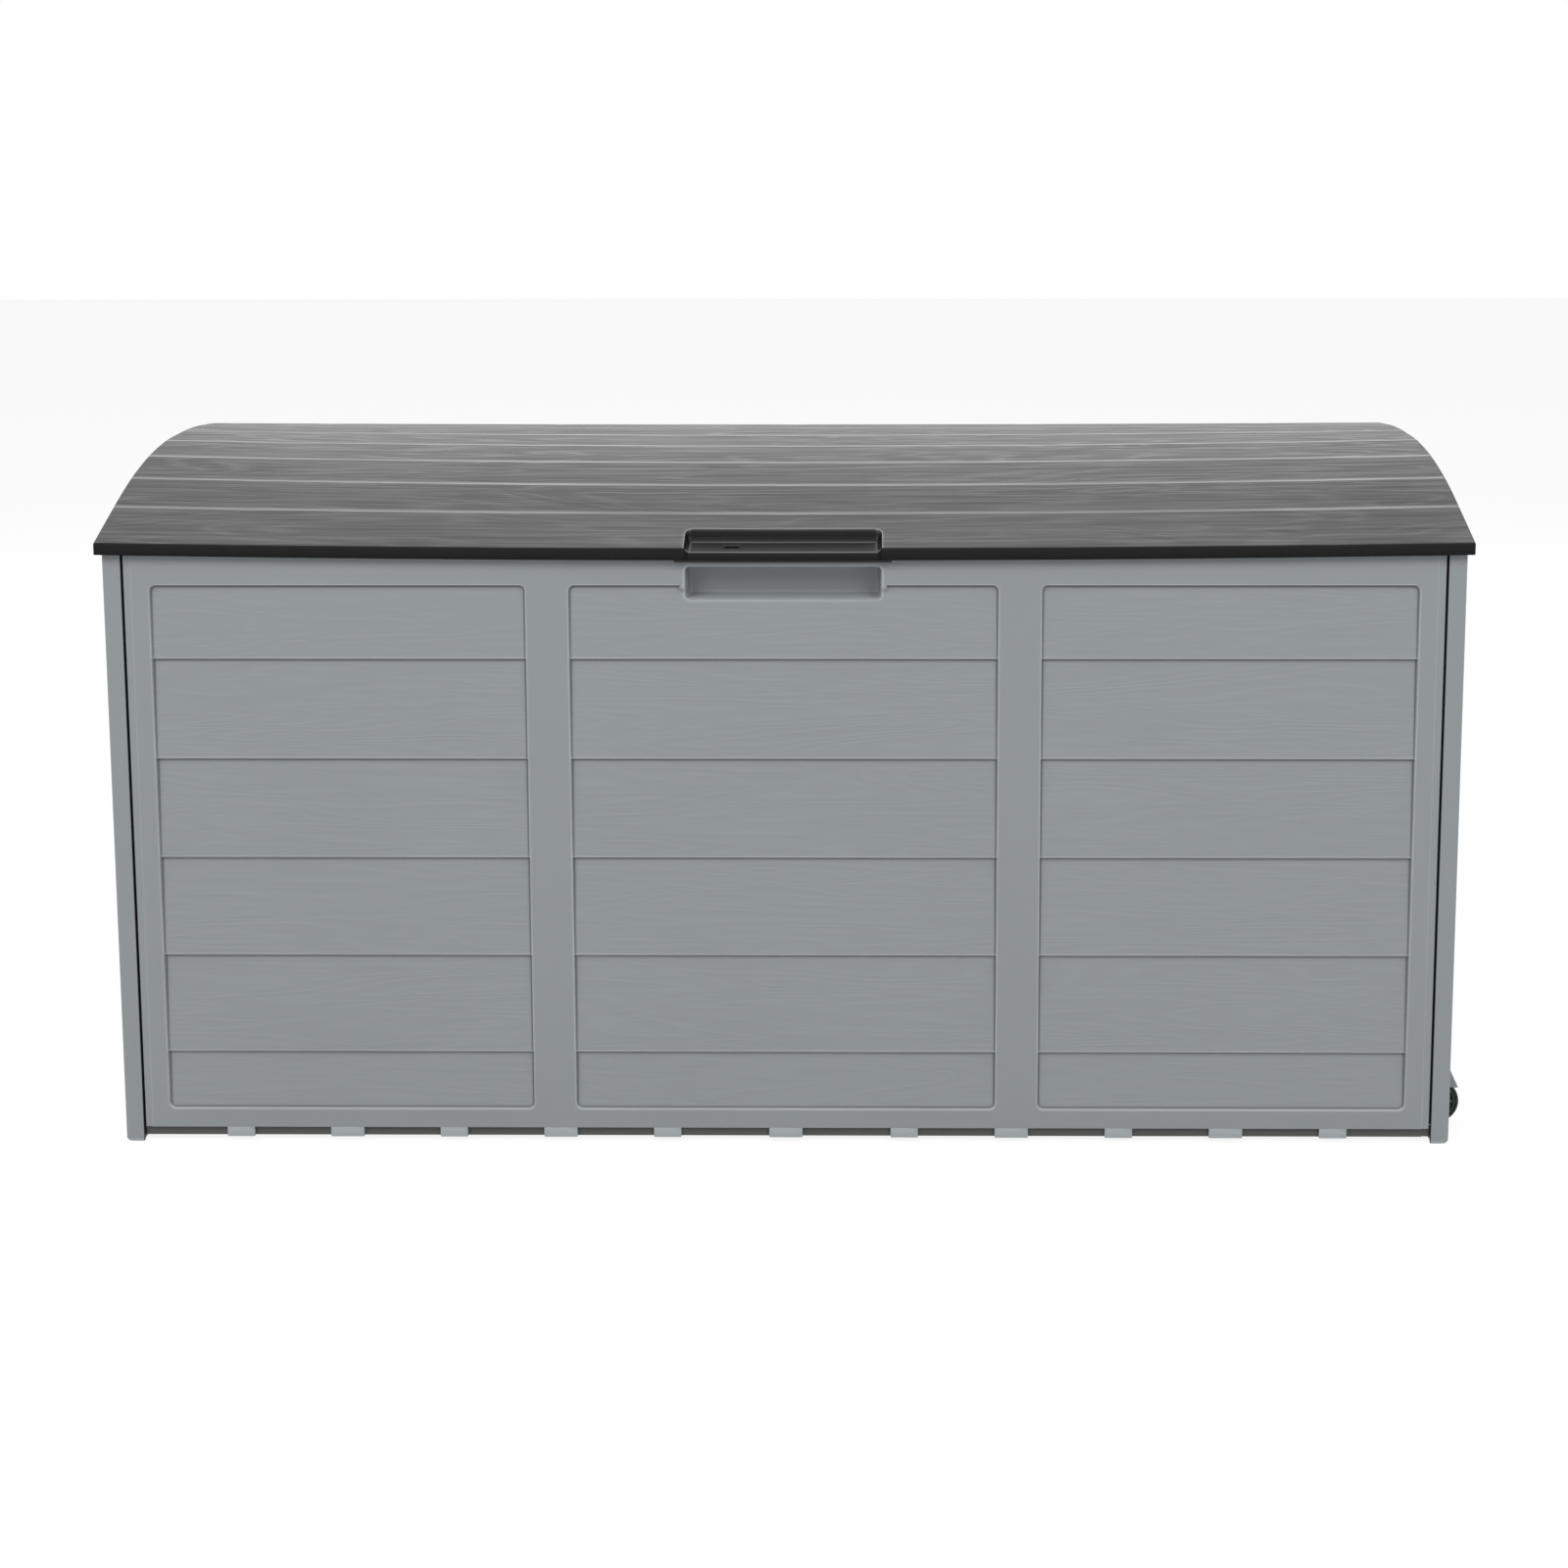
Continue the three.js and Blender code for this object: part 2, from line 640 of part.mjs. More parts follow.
function bracket() {
  const tip = [fenderX - fenderLip * fenderSlope, fenderZ + fenderLip];
  const cheekOut = axleHead + cheekPast;
  const plateTop = screwHeight + plateAbove;
  const bayInside = bayTop - fit - wheelZ;
  const outline = [
    [-bracketInner, -bracketFoot],
    [cheekOut, -bracketFoot],
    [cheekOut, fenderZ + cheekCorner],
    [tip[0] - fenderWall, tip[1] - fenderWall * fenderSlope],
    tip,
    [plateOut, fenderTop],
    [plateOut, plateTop],
    [fit - wheelOut, plateTop],
    [fit - wheelOut, bayInside],
    [-bracketInner, bayInside],
  ];
  const inner = halfWheel + wheelGap;
  const wide = [-inner, inner];
  const clear = wheelRadius + wheelGap;
  let solid = alongY(outline, [-bracketHalf, bracketHalf]);
  solid = cut(
    solid,
    rodY(clear, wide, wheelSides),
    box([-clear, clear + bracketPlate], wide, [-2 * bracketFoot, 0]),
    rodY(axleRadius + fit, grown([-bracketHalf, bracketHalf], bite), boreSides),
  );
  for (const offset of [-screwHalfSpan, screwHalfSpan]) {
    const through = [-wheelOut, plateOut + bite];
    solid = solid.subtract(rodX(screwRadius + fit, through, offset, screwHeight, boreSides));
  }
  return solid;
}

function tyre() {
  const inner = hubRadius + fit;
  const curve = [
    [1, 0],
    [0.25, 0.5],
    [0, 1.4],
  ]; // one shoulder: below the tread and in from the side wall, in shoulder sizes
  const near = curve.map(([r, y]) => [wheelRadius - r * tyreShoulder, -halfWheel + y * tyreShoulder]);
  const far = near.map(([radius, y]) => [radius, -y]).reverse();
  const profile = [[inner, -halfWheel], ...near, ...far, [inner, halfWheel], [inner, -halfWheel]];
  return turned(profile, wheelSides);
}

function hub() {
  const bore = axleRadius + fit;
  const boss = bore + hubBoss;
  const rimInner = hubRadius - hubRim;
  const face = halfWheel - hubInset;
  const deep = face - hubDish;
  const profile = [
    [bore, -face],
    [boss, -face],
    [boss + hubInset, -deep],
    [rimInner, -deep],
    [rimInner, -face],
    [hubRadius, -face],
    [hubRadius, face],
    [rimInner, face],
    [rimInner, deep],
    [boss + hubInset, deep],
    [boss, face],
    [bore, face],
    [bore, -face],
  ];
  return turned(profile, hubSides);
}

function axle() {
  const head = -bracketHalf - fit;
  const end = bracketHalf + fit + capLength - capWall;
  const profile = [
    [0, head - axleHeadLength],
    [axleHead - headBevel, head - axleHeadLength],
    [axleHead, head - axleHeadLength + headBevel],
    [axleHead, head],
    [axleRadius, head],
    [axleRadius, end],
    [0, end],
  ];
  return turned(profile, rodSides);
}

function axleCap() {
  const seat = bracketHalf + fit;
  const bore = axleRadius + fit;
  const floor = seat + capLength - capWall + fit;
  const profile = [
    [bore, seat],
    [capRadius, seat],
    [capRadius, floor],
    [capRadius - capWall, floor + capWall],
    [0, floor + capWall],
    [0, floor],
    [bore, floor],
    [bore, seat],
  ];
  return turned(profile, rodSides);
}

// ---------------------------------------------------------------- fasteners, pointing to -Y
function screw() {
  const profile = [
    [0, -screwLength],
    [screwRadius, -screwLength + screwTip],
    [screwRadius, 0],
    [screwHead, 0],
    [screwHead, screwHeadLength / 2],
    [screwHead / 2, screwHeadLength],
    [0, screwHeadLength],
  ];
  return turned(profile, boreSides);
}

function hingePin() {
  const end = lidLug / 2 + lugGap + panelLug;
  const profile = [
    [0, -end - pinTail],
    [pinRadius - pinBevel, -end - pinTail],
    [pinRadius, -end],
    [pinRadius, end + fit],
    [pinHead, end + fit],
    [pinHead, end + fit + pinHeadLength - pinBevel],
    [pinHead - pinBevel, end + fit + pinHeadLength],
    [0, end + fit + pinHeadLength],
  ];
  return turned(profile, rodSides);
}

// ---------------------------------------------------------------- the assembly
function piece(name, solid, material) {
  const mesh = new THREE.Mesh(geometryOf(solid), material.clone());
  mesh.name = name;
  return mesh;
}

const body = new THREE.Group();
body.add(piece("floor_panel", floorPanel(), darkFloor));
body.add(piece("front_panel", frontPanel(), greyPanel));
body.add(piece("end_panel_right", endPanel(true), greyPanel));

const back = new THREE.Group();
back.rotation.z = Math.PI;
back.add(piece("back_panel", backPanel(), greyPanel));

const left = new THREE.Group();
left.scale.x = -1;
left.add(piece("end_panel_left", endPanel(false), greyPanel));
body.add(back, left);

body.add(piece("lid_shell", lidShell(), darkLid));
hingePlaces.forEach((x, i) => {
  const pin = piece(`hinge_pin_${i + 1}`, hingePin(), zincSteel);
  pin.rotation.z = -Math.PI / 2;
  pin.position.set(x, hingeY, hingeZ);
  body.add(pin);
});

for (const [where, side] of [["front", -1], ["rear", 1]]) {
  const wheel = new THREE.Group();
  wheel.position.set(wheelX, side * wheelY, wheelZ);
  wheel.add(piece(`wheel_bracket_${where}`, bracket(), greyBracket));
  wheel.add(piece(`wheel_tyre_${where}`, tyre(), blackTyre));
  wheel.add(piece(`wheel_hub_${where}`, hub(), greenHub));
  wheel.add(piece(`wheel_axle_${where}`, axle(), zincSteel));
  wheel.add(piece(`axle_cap_${where}`, axleCap(), zincSteel));
  [-screwHalfSpan, screwHalfSpan].forEach((offset, i) => {
    const fastener = piece(`bracket_screw_${where}_${i + 1}`, screw(), zincSteel);
    fastener.rotation.z = -Math.PI / 2;
    fastener.position.set(plateOut + fit, offset, screwHeight);
    wheel.add(fastener);
  });
  body.add(wheel);
}

// The origin is on the ground, under the middle of the whole object: the wheels stand out
// at one end and the hinges at the back.
const reachX = Math.max(halfLength, wheelX + wheelRadius);
const reachY = hingeY + eyeRadius;
body.position.set((halfLength - reachX) / 2, (halfDepth - reachY) / 2, 0);

const deckBox = new THREE.Group();
deckBox.add(body);

export default deckBox;
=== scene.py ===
"""The looks of the deck storage box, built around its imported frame.

Shapes are worked out in millimetres about the middle of the box body, then moved to the
frame's own origin in metres.
"""

import json
import math

import bmesh
import bpy
import numpy as np
from mathutils import Matrix, Vector

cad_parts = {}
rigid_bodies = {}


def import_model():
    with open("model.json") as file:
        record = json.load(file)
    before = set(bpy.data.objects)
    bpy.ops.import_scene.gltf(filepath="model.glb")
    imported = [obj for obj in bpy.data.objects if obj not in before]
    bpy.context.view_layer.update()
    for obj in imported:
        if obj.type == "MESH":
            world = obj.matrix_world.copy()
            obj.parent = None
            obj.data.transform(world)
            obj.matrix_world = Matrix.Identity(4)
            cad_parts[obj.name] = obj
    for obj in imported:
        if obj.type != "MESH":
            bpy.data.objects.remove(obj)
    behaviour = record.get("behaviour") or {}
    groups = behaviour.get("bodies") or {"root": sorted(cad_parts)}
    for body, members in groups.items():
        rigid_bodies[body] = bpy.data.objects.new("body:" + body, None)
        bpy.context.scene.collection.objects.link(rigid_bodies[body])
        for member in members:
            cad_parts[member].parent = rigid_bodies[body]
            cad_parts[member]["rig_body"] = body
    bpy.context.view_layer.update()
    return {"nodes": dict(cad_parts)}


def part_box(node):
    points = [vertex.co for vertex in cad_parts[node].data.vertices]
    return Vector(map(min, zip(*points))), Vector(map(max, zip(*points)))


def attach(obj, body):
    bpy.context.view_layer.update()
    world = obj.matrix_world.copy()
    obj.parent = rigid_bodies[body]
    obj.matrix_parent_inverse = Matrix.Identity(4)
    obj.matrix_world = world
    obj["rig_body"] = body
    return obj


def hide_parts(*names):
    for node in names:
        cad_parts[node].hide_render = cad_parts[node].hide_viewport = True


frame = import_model()

# ------------------------------------------------------------------ sizes, from the frame
MM = 0.001
lid_low, lid_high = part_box("lid_shell")
end_low, end_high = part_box("end_panel_right")
front_low, front_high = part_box("front_panel")
floor_low, floor_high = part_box("floor_panel")

SHIFT = Vector(((lid_low.x + lid_high.x) / 2, (end_low.y + end_high.y) / 2, 0))
HALF_LENGTH = (lid_high.x - lid_low.x) / 2 / MM
HALF_DEPTH = (SHIFT.y - lid_low.y) / MM
HEIGHT = lid_high.z / MM
BODY_X = (end_high.x - SHIFT.x) / MM
BODY_Y = (end_high.y - end_low.y) / 2 / MM
PANEL_TOP = front_high.z / MM
tyre_low, tyre_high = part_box("wheel_tyre_rear")
WHEEL_Y = ((tyre_low.y + tyre_high.y) / 2 - SHIFT.y) / MM

# ------------------------------------------------------------------ sizes repeated from the design
LID_RADIUS = 460
LID_PLANK = 45.4
EAVES = math.radians(24.3)
LID_WALL = 3.5
RIM = 10.8
RIM_WALL = 3
TRAY_HALF = 80.3
TRAY_DEPTH = 25
TRAY_DROP = 9
TRAY_FALL = 7
APRON_HALF = 88.5
APRON_DROP = 1.9
HOLE_X = -42
HOLE_HALF = 3.4
HOLE_RADIUS = 3.2
LID_RIBS = 5
RIB_DEPTH = 12

POST = 14.9
SEAM = 2
TONGUE = 9
PANEL_X = (front_high.x - front_low.x) / 2 / MM - SEAM - TONGUE
PANEL_FOOT = 12.2
PANEL_SIDE = 12
OUTER_STILE = 20.4
MIDDLE_STILE = 34.6
MIDDLE_FIELD = 352
FIELD_BOTTOM = 28.5
TOP_RAIL = 24.7
FIELD_CORNER = 5.5
EDGE_STRIP = 5.6
STRIP_DEPTH = 0.5
SEAM_SEEN = 1.5
CLAPBOARD = 83.9
FIRST_LINE = 78.2
PLANK_PROUD = 1
PLANK_BACK = 3.5
WALL = 3
GRIP_HALF = 81.2
GRIP_HEIGHT = 29.6
GRIP_BELOW_TOP = 8.4
GRIP_DEPTH = 20
GRIP_CORNER = 5
TAB_FIRST = 99.5
TAB_PITCH = 89.9
TAB_HALF_WIDE = 14
TAB_HALF_NARROW = 11.5
TABS_EACH_SIDE = 5
TAB_FOOT = 4
TAB_WALL = 3
END_RAIL = 27
END_TOP_RAIL = 42
LID_GAP = 0.5
HANDLE_HALF = 62
HANDLE_HEIGHT = 34
HANDLE_DEPTH = 22
HANDLE_CENTRE = 395
HANDLE_CORNER = 12
FOOT_CORNER = 4.5
LEDGE = 22
LEDGE_HALF = 172.8
FLOOR_STRIP = (4.4, 11.4)
NOTCH_X = 533.9
BAY_HALF = 18.9
BAY_TOP = 42

HINGES = 4
HINGE_INSET = 110
HINGE_REACH = 9
HINGE_DROP = 1.7
EYE_RADIUS = 6.5
LID_LUG = 14
PANEL_LUG = 8
LUG_GAP = 0.5
OPENING = math.radians(100)
FIT = 0.3

ARCH_STEP = LID_PLANK / LID_RADIUS
ARCH_CENTRE = HEIGHT - LID_RADIUS * math.cos(ARCH_STEP / 2)
GROOVE_COUNT = 5
FULLNESS = 2.1
FLAT_TOP = 38
GROOVE_Y = [LID_RADIUS * math.sin((i + 0.5) * ARCH_STEP) for i in range(GROOVE_COUNT)]
GROOVE_Z = [ARCH_CENTRE + LID_RADIUS * math.cos((i + 0.5) * ARCH_STEP) for i in range(GROOVE_COUNT)]
RIM_TOP = GROOVE_Z[-1] - (HALF_DEPTH - GROOVE_Y[-1]) * math.tan(EAVES)
RIM_FOOT = RIM_TOP - RIM
HINGE_Y = HALF_DEPTH + HINGE_REACH
HINGE_Z = RIM_FOOT - HINGE_DROP

# ------------------------------------------------------------------ sizes of the relief
LID_ROUND = 1.6
PANEL_ROUND = 0.8
POST_ROUND = 1
HOLD = 0.25
EDGE_LOOP = 0.2
SEAM_DEPTH = 6
SEAM_END = 2
FILLER = 0.6
BEVEL = 1.2
LIP_REACH = 1.1
LIP_DEPTH = 0.9
LIP_STEP = 0.3
COLLAR = 3
COLLAR_FADE = 1.2
MOUTH_FADE = 2.5
TAB_LAP = 1.5
WEB_HALF = 1.5
WEB_REACH = 8
WEB_END = 3.5
POST_TOP_WALL = 14
ARCH_LEAN = 0.93

TRAY_CORNER = 5
TRAY_OPEN = 40
LEAST_WALL = 0.5
RIM_FROM = 0.7
PLANK_CROWN = 0.45
CROWN_SKEW = 0.8
LID_GROOVE_HALF = 1.7
LID_GROOVE_DEPTH = 0.8
SINK_DEPTH = 0.18
SINK_WIDTH = 11
SAG_MOST = 6.4
SAG_EDGE = 1.8
SAG_FRONT = -150
SAG_REACH = 330
SAG_EDGE_REACH = 95
ARM_DROP = 3.6 * EYE_RADIUS
HEEL = 3
HEEL_BACK = 2

TYRE_HALF = 11
HUB_HALF = 10.3
HUB_DISH = 3
SPOKES = 6
SPOKE = (7.4, 2.4, 1.6)
SPOKE_RADIUS = 10.2
SPOKE_PROUD = 1.1

# How wide a painted highlight or painted shade line is, and how far it lies from its edge.
HIGHLIGHT_WIDTH = 0.55
LIP_HIGHLIGHT_AT = 0.9
LIP_SHADE_AT = 0.5
LIP_SHADE_WIDTH = 0.75
CORNER_SHADE_AT = BEVEL + 0.2
CORNER_SHADE_WIDTH = 0.7
MOUTH_HIGHLIGHT_AT = 0.2
MOUTH_HIGHLIGHT_WIDTH = 0.9
GROOVE_HIGHLIGHT_WIDTH = 1.4
GROOVE_HIGHLIGHT_FADE = 0.72

# Offsets of the mesh's lines from the edge of a field, a board's lip and a recess's mouth.
FIELD_LOOPS = [-1.4, -0.7, -0.3, 0.0, 0.3, 0.6, 0.9, 1.2, 1.6, 2.2, 3.0, 4.2, 5.6, 7.4]
LIP_LOOPS = [-2.4, -1.6, -1.0, -0.6, -0.3, 0.0, 0.25, 0.5, 0.8, 1.1, 1.5, 2.1, 3.2]
MOUTH_LOOPS = [-4.5, -3, -1.6, -0.6, 0.0, 0.4, 0.8, 1.1, 1.3, 1.6, 2.1, 2.9, 3.3, 3.9, 4.7, 5.9,
               7.5]
HALF_TURN = np.diag([-1.0, -1.0, 1.0])


# ------------------------------------------------------------------ mesh helpers
def to_frame(points):
    """Millimetres about the body's middle to metres in the frame."""
    return np.asarray(points, float) * MM + np.array(SHIFT)


def place(name, mesh, body):
    piece = bpy.data.objects.new(name, mesh)
    bpy.context.scene.collection.objects.link(piece)
    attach(piece, body)
    return piece


def finish_mesh(mesh, sharp=math.radians(35)):
    for polygon in mesh.polygons:
        polygon.use_smooth = True
    mesh.set_sharp_from_angle(angle=sharp)
    mesh.update()


def grid_piece(name, body, points, outward, wall, slots=None, keep=None, turn=None,
               painted_highlight=None, shaded=None):
    """A sheet from a grid of points, thickened inwards. slots gives each face's material, and
    its point layers the painted highlight on its edges and the painted shade in corners and seams."""
    rows, cols = points.shape[:2]
    flat = points.reshape(-1, 3)
    if turn is not None:
        flat = flat @ turn.T
    index = np.arange(rows * cols).reshape(rows, cols)
    quads = np.stack([index[:-1, :-1], index[:-1, 1:], index[1:, 1:], index[1:, :-1]], -1)
    quads = quads.reshape(-1, 4)
    materials = np.zeros(len(quads), int) if slots is None else slots.reshape(-1)
    if keep is not None:
        quads, materials = quads[keep.reshape(-1)], materials[keep.reshape(-1)]
    mesh = bpy.data.meshes.new(name)
    mesh.from_pydata(to_frame(flat).tolist(), [], quads.tolist())
    mesh.polygons.foreach_set("material_index", materials.astype(np.int32))
    for label, values in (("painted_highlight", painted_highlight), ("shaded", shaded)):
        if values is not None:
            layer = mesh.attributes.new(label, "FLOAT", "POINT")
            layer.data.foreach_set("value", np.clip(values, 0, 1).astype(np.float32).ravel())
    work = bmesh.new()
    work.from_mesh(mesh)
    bmesh.ops.remove_doubles(work, verts=work.verts, dist=0.03 * MM)
    bmesh.ops.dissolve_degenerate(work, edges=work.edges, dist=0.02 * MM)
    loose = [v for v in work.verts if not v.link_faces]
    bmesh.ops.delete(work, geom=loose, context="VERTS")
    total = sum((f.normal * f.calc_area() for f in work.faces), Vector())
    if total.dot(Vector(outward)) < 0:
        bmesh.ops.reverse_faces(work, faces=work.faces)
    work.to_mesh(mesh)
    work.free()
    finish_mesh(mesh)
    piece = place(name, mesh, body)
    if wall:
        thick = piece.modifiers.new("wall", "SOLIDIFY")
        thick.thickness = wall * MM
        thick.offset = -1
    return piece


def prism(name, body, outline, reach, axis, bevel=0.6, segments=3, turn=None):
    """A bar with an outline in the two other axes, and bevelled edges."""
    order = {"X": lambda u, v, w: (w, u, v), "Y": lambda u, v, w: (u, w, v),
             "Z": lambda u, v, w: (u, v, w)}[axis]
    count = len(outline)
    points = [order(u, v, w) for w in reach for u, v in outline]
    if turn is not None:
        points = np.array(points) @ turn.T
    faces = [list(range(count)), list(range(count, 2 * count))]
    faces += [[i, (i + 1) % count, count + (i + 1) % count, count + i] for i in range(count)]
    mesh = bpy.data.meshes.new(name)
    mesh.from_pydata(to_frame(points).tolist(), [], faces)
    work = bmesh.new()
    work.from_mesh(mesh)
    bmesh.ops.recalc_face_normals(work, faces=work.faces)
    edges = [e for e in work.edges if e.calc_face_angle(0) > math.radians(30)]
    if bevel:
        bmesh.ops.bevel(work, geom=edges, offset=bevel * MM, segments=segments, profile=0.5,
                        affect="EDGES", clamp_overlap=True)
    work.to_mesh(mesh)
    work.free()
    finish_mesh(mesh)
    return place(name, mesh, body)


def joined(name, pieces):
    """One object from several on the same body."""
    keeper = pieces[0]
    work = bmesh.new()
    for piece in pieces:
        work.from_mesh(piece.data)
    work.to_mesh(keeper.data)
    work.free()
    for piece in pieces[1:]:
        bpy.data.objects.remove(piece)
    finish_mesh(keeper.data)
    keeper.name = name
    return keeper


def rectangle(u, v):
    return [(u[0], v[0]), (u[1], v[0]), (u[1], v[1]), (u[0], v[1])]


def circle(centre, radius, count=40):
    angles = [2 * math.pi * i / count for i in range(count)]
    return [(centre[0] + radius * math.cos(a), centre[1] + radius * math.sin(a)) for a in angles]


def hull(points):
    """The convex outline round some points, anticlockwise."""
    points = sorted(set(points))

    def half(run):
        out = []
        for p in run:
            while len(out) > 1 and ((out[-1][0] - out[-2][0]) * (p[1] - out[-2][1])
                                    - (out[-1][1] - out[-2][1]) * (p[0] - out[-2][0])) <= 0:
                out.pop()
            out.append(p)
        return out[:-1]

    return half(points) + half(points[::-1])


def stations(low, high, coarse, features):
    """Sorted places from low to high: every `coarse`, and closer round each feature."""
    places = list(np.linspace(low, high, max(2, int((high - low) / coarse) + 1)))
    for centre, offsets in features:
        places = [p for p in places if not offsets[0] - 0.4 < p - centre < offsets[-1] + 0.4]
        places += [centre + o for o in offsets]
    places = sorted(p for p in places if low <= p <= high)
    kept = [places[0]]
    for p in places[1:]:
        if p - kept[-1] > 0.12:
            kept.append(p)
    kept[-1] = high
    return np.array(kept)


def wrapped(places, radius, depth, last=()):
    """Stations along one way of a sheet, turned down at its ends: (place, drop) pairs."""
    turn = [math.radians(a) for a in (0, 22.5, 45, 67.5, 90)]
    bend = [(radius * (1 - math.cos(a)), radius * (1 - math.sin(a))) for a in turn]
    bend = [(0, depth), *last, (0, radius + HOLD), *bend, (radius + HOLD, 0)]
    low = [(places[0] + inward, drop) for inward, drop in bend]
    high = [(places[-1] - inward, drop) for inward, drop in bend[::-1]]
    clear = radius + 2 * HOLD
    inner = [(p, 0.0) for p in places if places[0] + clear < p < places[-1] - clear]
    return np.array([*low, *inner, *high])


def cells(values):
    """The middle value of each cell of a grid."""
    return (values[:-1, :-1] + values[1:, 1:]) / 2


def smooth(x, low, high):
    t = np.clip((x - low) / (high - low), 0, 1)
    return t * t * (3 - 2 * t)


def inside_rect(u, v, u_range, v_range, radius):
    """How far each place lies inside a rounded rectangle: positive inside."""
    cu, cv = sum(u_range) / 2, sum(v_range) / 2
    qu = np.abs(u - cu) - (u_range[1] - u_range[0]) / 2 + radius
    qv = np.abs(v - cv) - (v_range[1] - v_range[0]) / 2 + radius
    outside = np.hypot(np.maximum(qu, 0), np.maximum(qv, 0)) + np.minimum(np.maximum(qu, qv), 0)
    return radius - outside


# ------------------------------------------------------------------ relief of the side panels
def boards(height):
    """Depth of the clapboards below the rail face, each with a rounded lower lip."""
    above = np.mod(height - FIRST_LINE, CLAPBOARD)
    depth = PLANK_PROUD + (PLANK_BACK - PLANK_PROUD) * above / CLAPBOARD
    bend = np.clip(1 - above / LIP_REACH, 0, 1)
    depth = depth + LIP_DEPTH * (1 - np.sqrt(1 - bend**2))
    step = np.clip((CLAPBOARD - above) / LIP_STEP, 0, 1)
    return depth * step + (1 - step) * (PLANK_PROUD + LIP_DEPTH)


def recessed(inside, depth):
    """Depth of a recess with a rounded mouth, drafted walls and a rounded floor."""
    mouth, draft, floor_round = 1.3, 1.6, 3.0
    t = np.clip(inside / mouth, 0, 1)
    round_in = mouth * (1 - np.sqrt(1 - t**2))
    wall = np.clip((inside - mouth) / draft, 0, 1) * (depth - mouth - floor_round)
    last = np.clip((inside - mouth - draft) / floor_round, 0, 1)
    return round_in + wall + floor_round * np.sqrt(1 - (1 - last) ** 2)


def collar_round(inside):
    """1 in a recess and on the flat band round its mouth, fading to 0 further out."""
    return smooth(inside, -COLLAR - COLLAR_FADE, -COLLAR)


def mirrored(offsets):
    return [-o for o in offsets[::-1]]


def line_at(distance, centre, width):
    """1 on a line at some distance, fading to 0 over about its width."""
    return np.exp(-(((distance - centre) / width) ** 2))


def board_edges(height):
    """Painted highlight on each clapboard's lower lip and painted shade under it."""
    above = np.mod(height - FIRST_LINE, CLAPBOARD)
    lip_shade = line_at(above, CLAPBOARD - LIP_SHADE_AT, LIP_SHADE_WIDTH)
    return line_at(above, LIP_HIGHLIGHT_AT, HIGHLIGHT_WIDTH), lip_shade


def rounding_highlight(drop, radius):
    """Half-strength painted highlight on the rounded edge of a sheet."""
    return 0.5 * ((drop > 0.06 * radius) & (drop < 0.7 * radius))


# ------------------------------------------------------------------ front and back panels
FIELDS = [
    (-PANEL_X + OUTER_STILE, -MIDDLE_FIELD / 2 - MIDDLE_STILE),
    (-MIDDLE_FIELD / 2, MIDDLE_FIELD / 2),
    (MIDDLE_FIELD / 2 + MIDDLE_STILE, PANEL_X - OUTER_STILE),
]
FIELD_TOP = PANEL_TOP - TOP_RAIL
GRIP_Z = (PANEL_TOP - GRIP_BELOW_TOP - GRIP_HEIGHT, PANEL_TOP - GRIP_BELOW_TOP)
LINES = [FIRST_LINE + i * CLAPBOARD for i in range(6)]


def long_panel_relief(x, z, with_grip):
    """Depth below the rail face, share of board, painted highlight and painted shade."""
    depth = np.zeros_like(x)
    field = np.zeros_like(x)
    painted_highlight = np.zeros_like(x)
    shaded = np.zeros_like(x)
    lip, under = board_edges(z)
    for reach in FIELDS:
        inside = inside_rect(x, z, reach, (FIELD_BOTTOM, FIELD_TOP), FIELD_CORNER)
        blend = smooth(inside, 0, BEVEL)
        depth += blend * boards(z)
        field += blend
        painted_highlight = np.maximum.reduce([painted_highlight, line_at(inside, 0, HIGHLIGHT_WIDTH), blend * lip])
        corner = line_at(inside, CORNER_SHADE_AT, CORNER_SHADE_WIDTH)
        shaded = np.maximum.reduce([shaded, corner, blend * under])
    step = PANEL_X - EDGE_STRIP
    step_width = 0.5
    depth += STRIP_DEPTH * smooth(np.abs(x), step, step + step_width)
    painted_highlight = np.maximum(painted_highlight, 0.6 * line_at(np.abs(x), step, step_width))
    if with_grip:
        inside = inside_rect(x, z, (-GRIP_HALF, GRIP_HALF), GRIP_Z, GRIP_CORNER)
        collar = collar_round(inside) * smooth(z, FIELD_TOP - 7, FIELD_TOP - 2)
        kept = (1 - collar) * (1 - smooth(inside, 0, MOUTH_FADE))
        depth = depth * kept + recessed(inside, GRIP_DEPTH)
        outside = (1 - collar) * (1 - smooth(inside, -0.6, 0.4))
        field *= outside
        painted_highlight = np.maximum(painted_highlight * outside, line_at(inside, MOUTH_HIGHLIGHT_AT, MOUTH_HIGHLIGHT_WIDTH))
        shaded *= outside
    return depth, field, painted_highlight, shaded


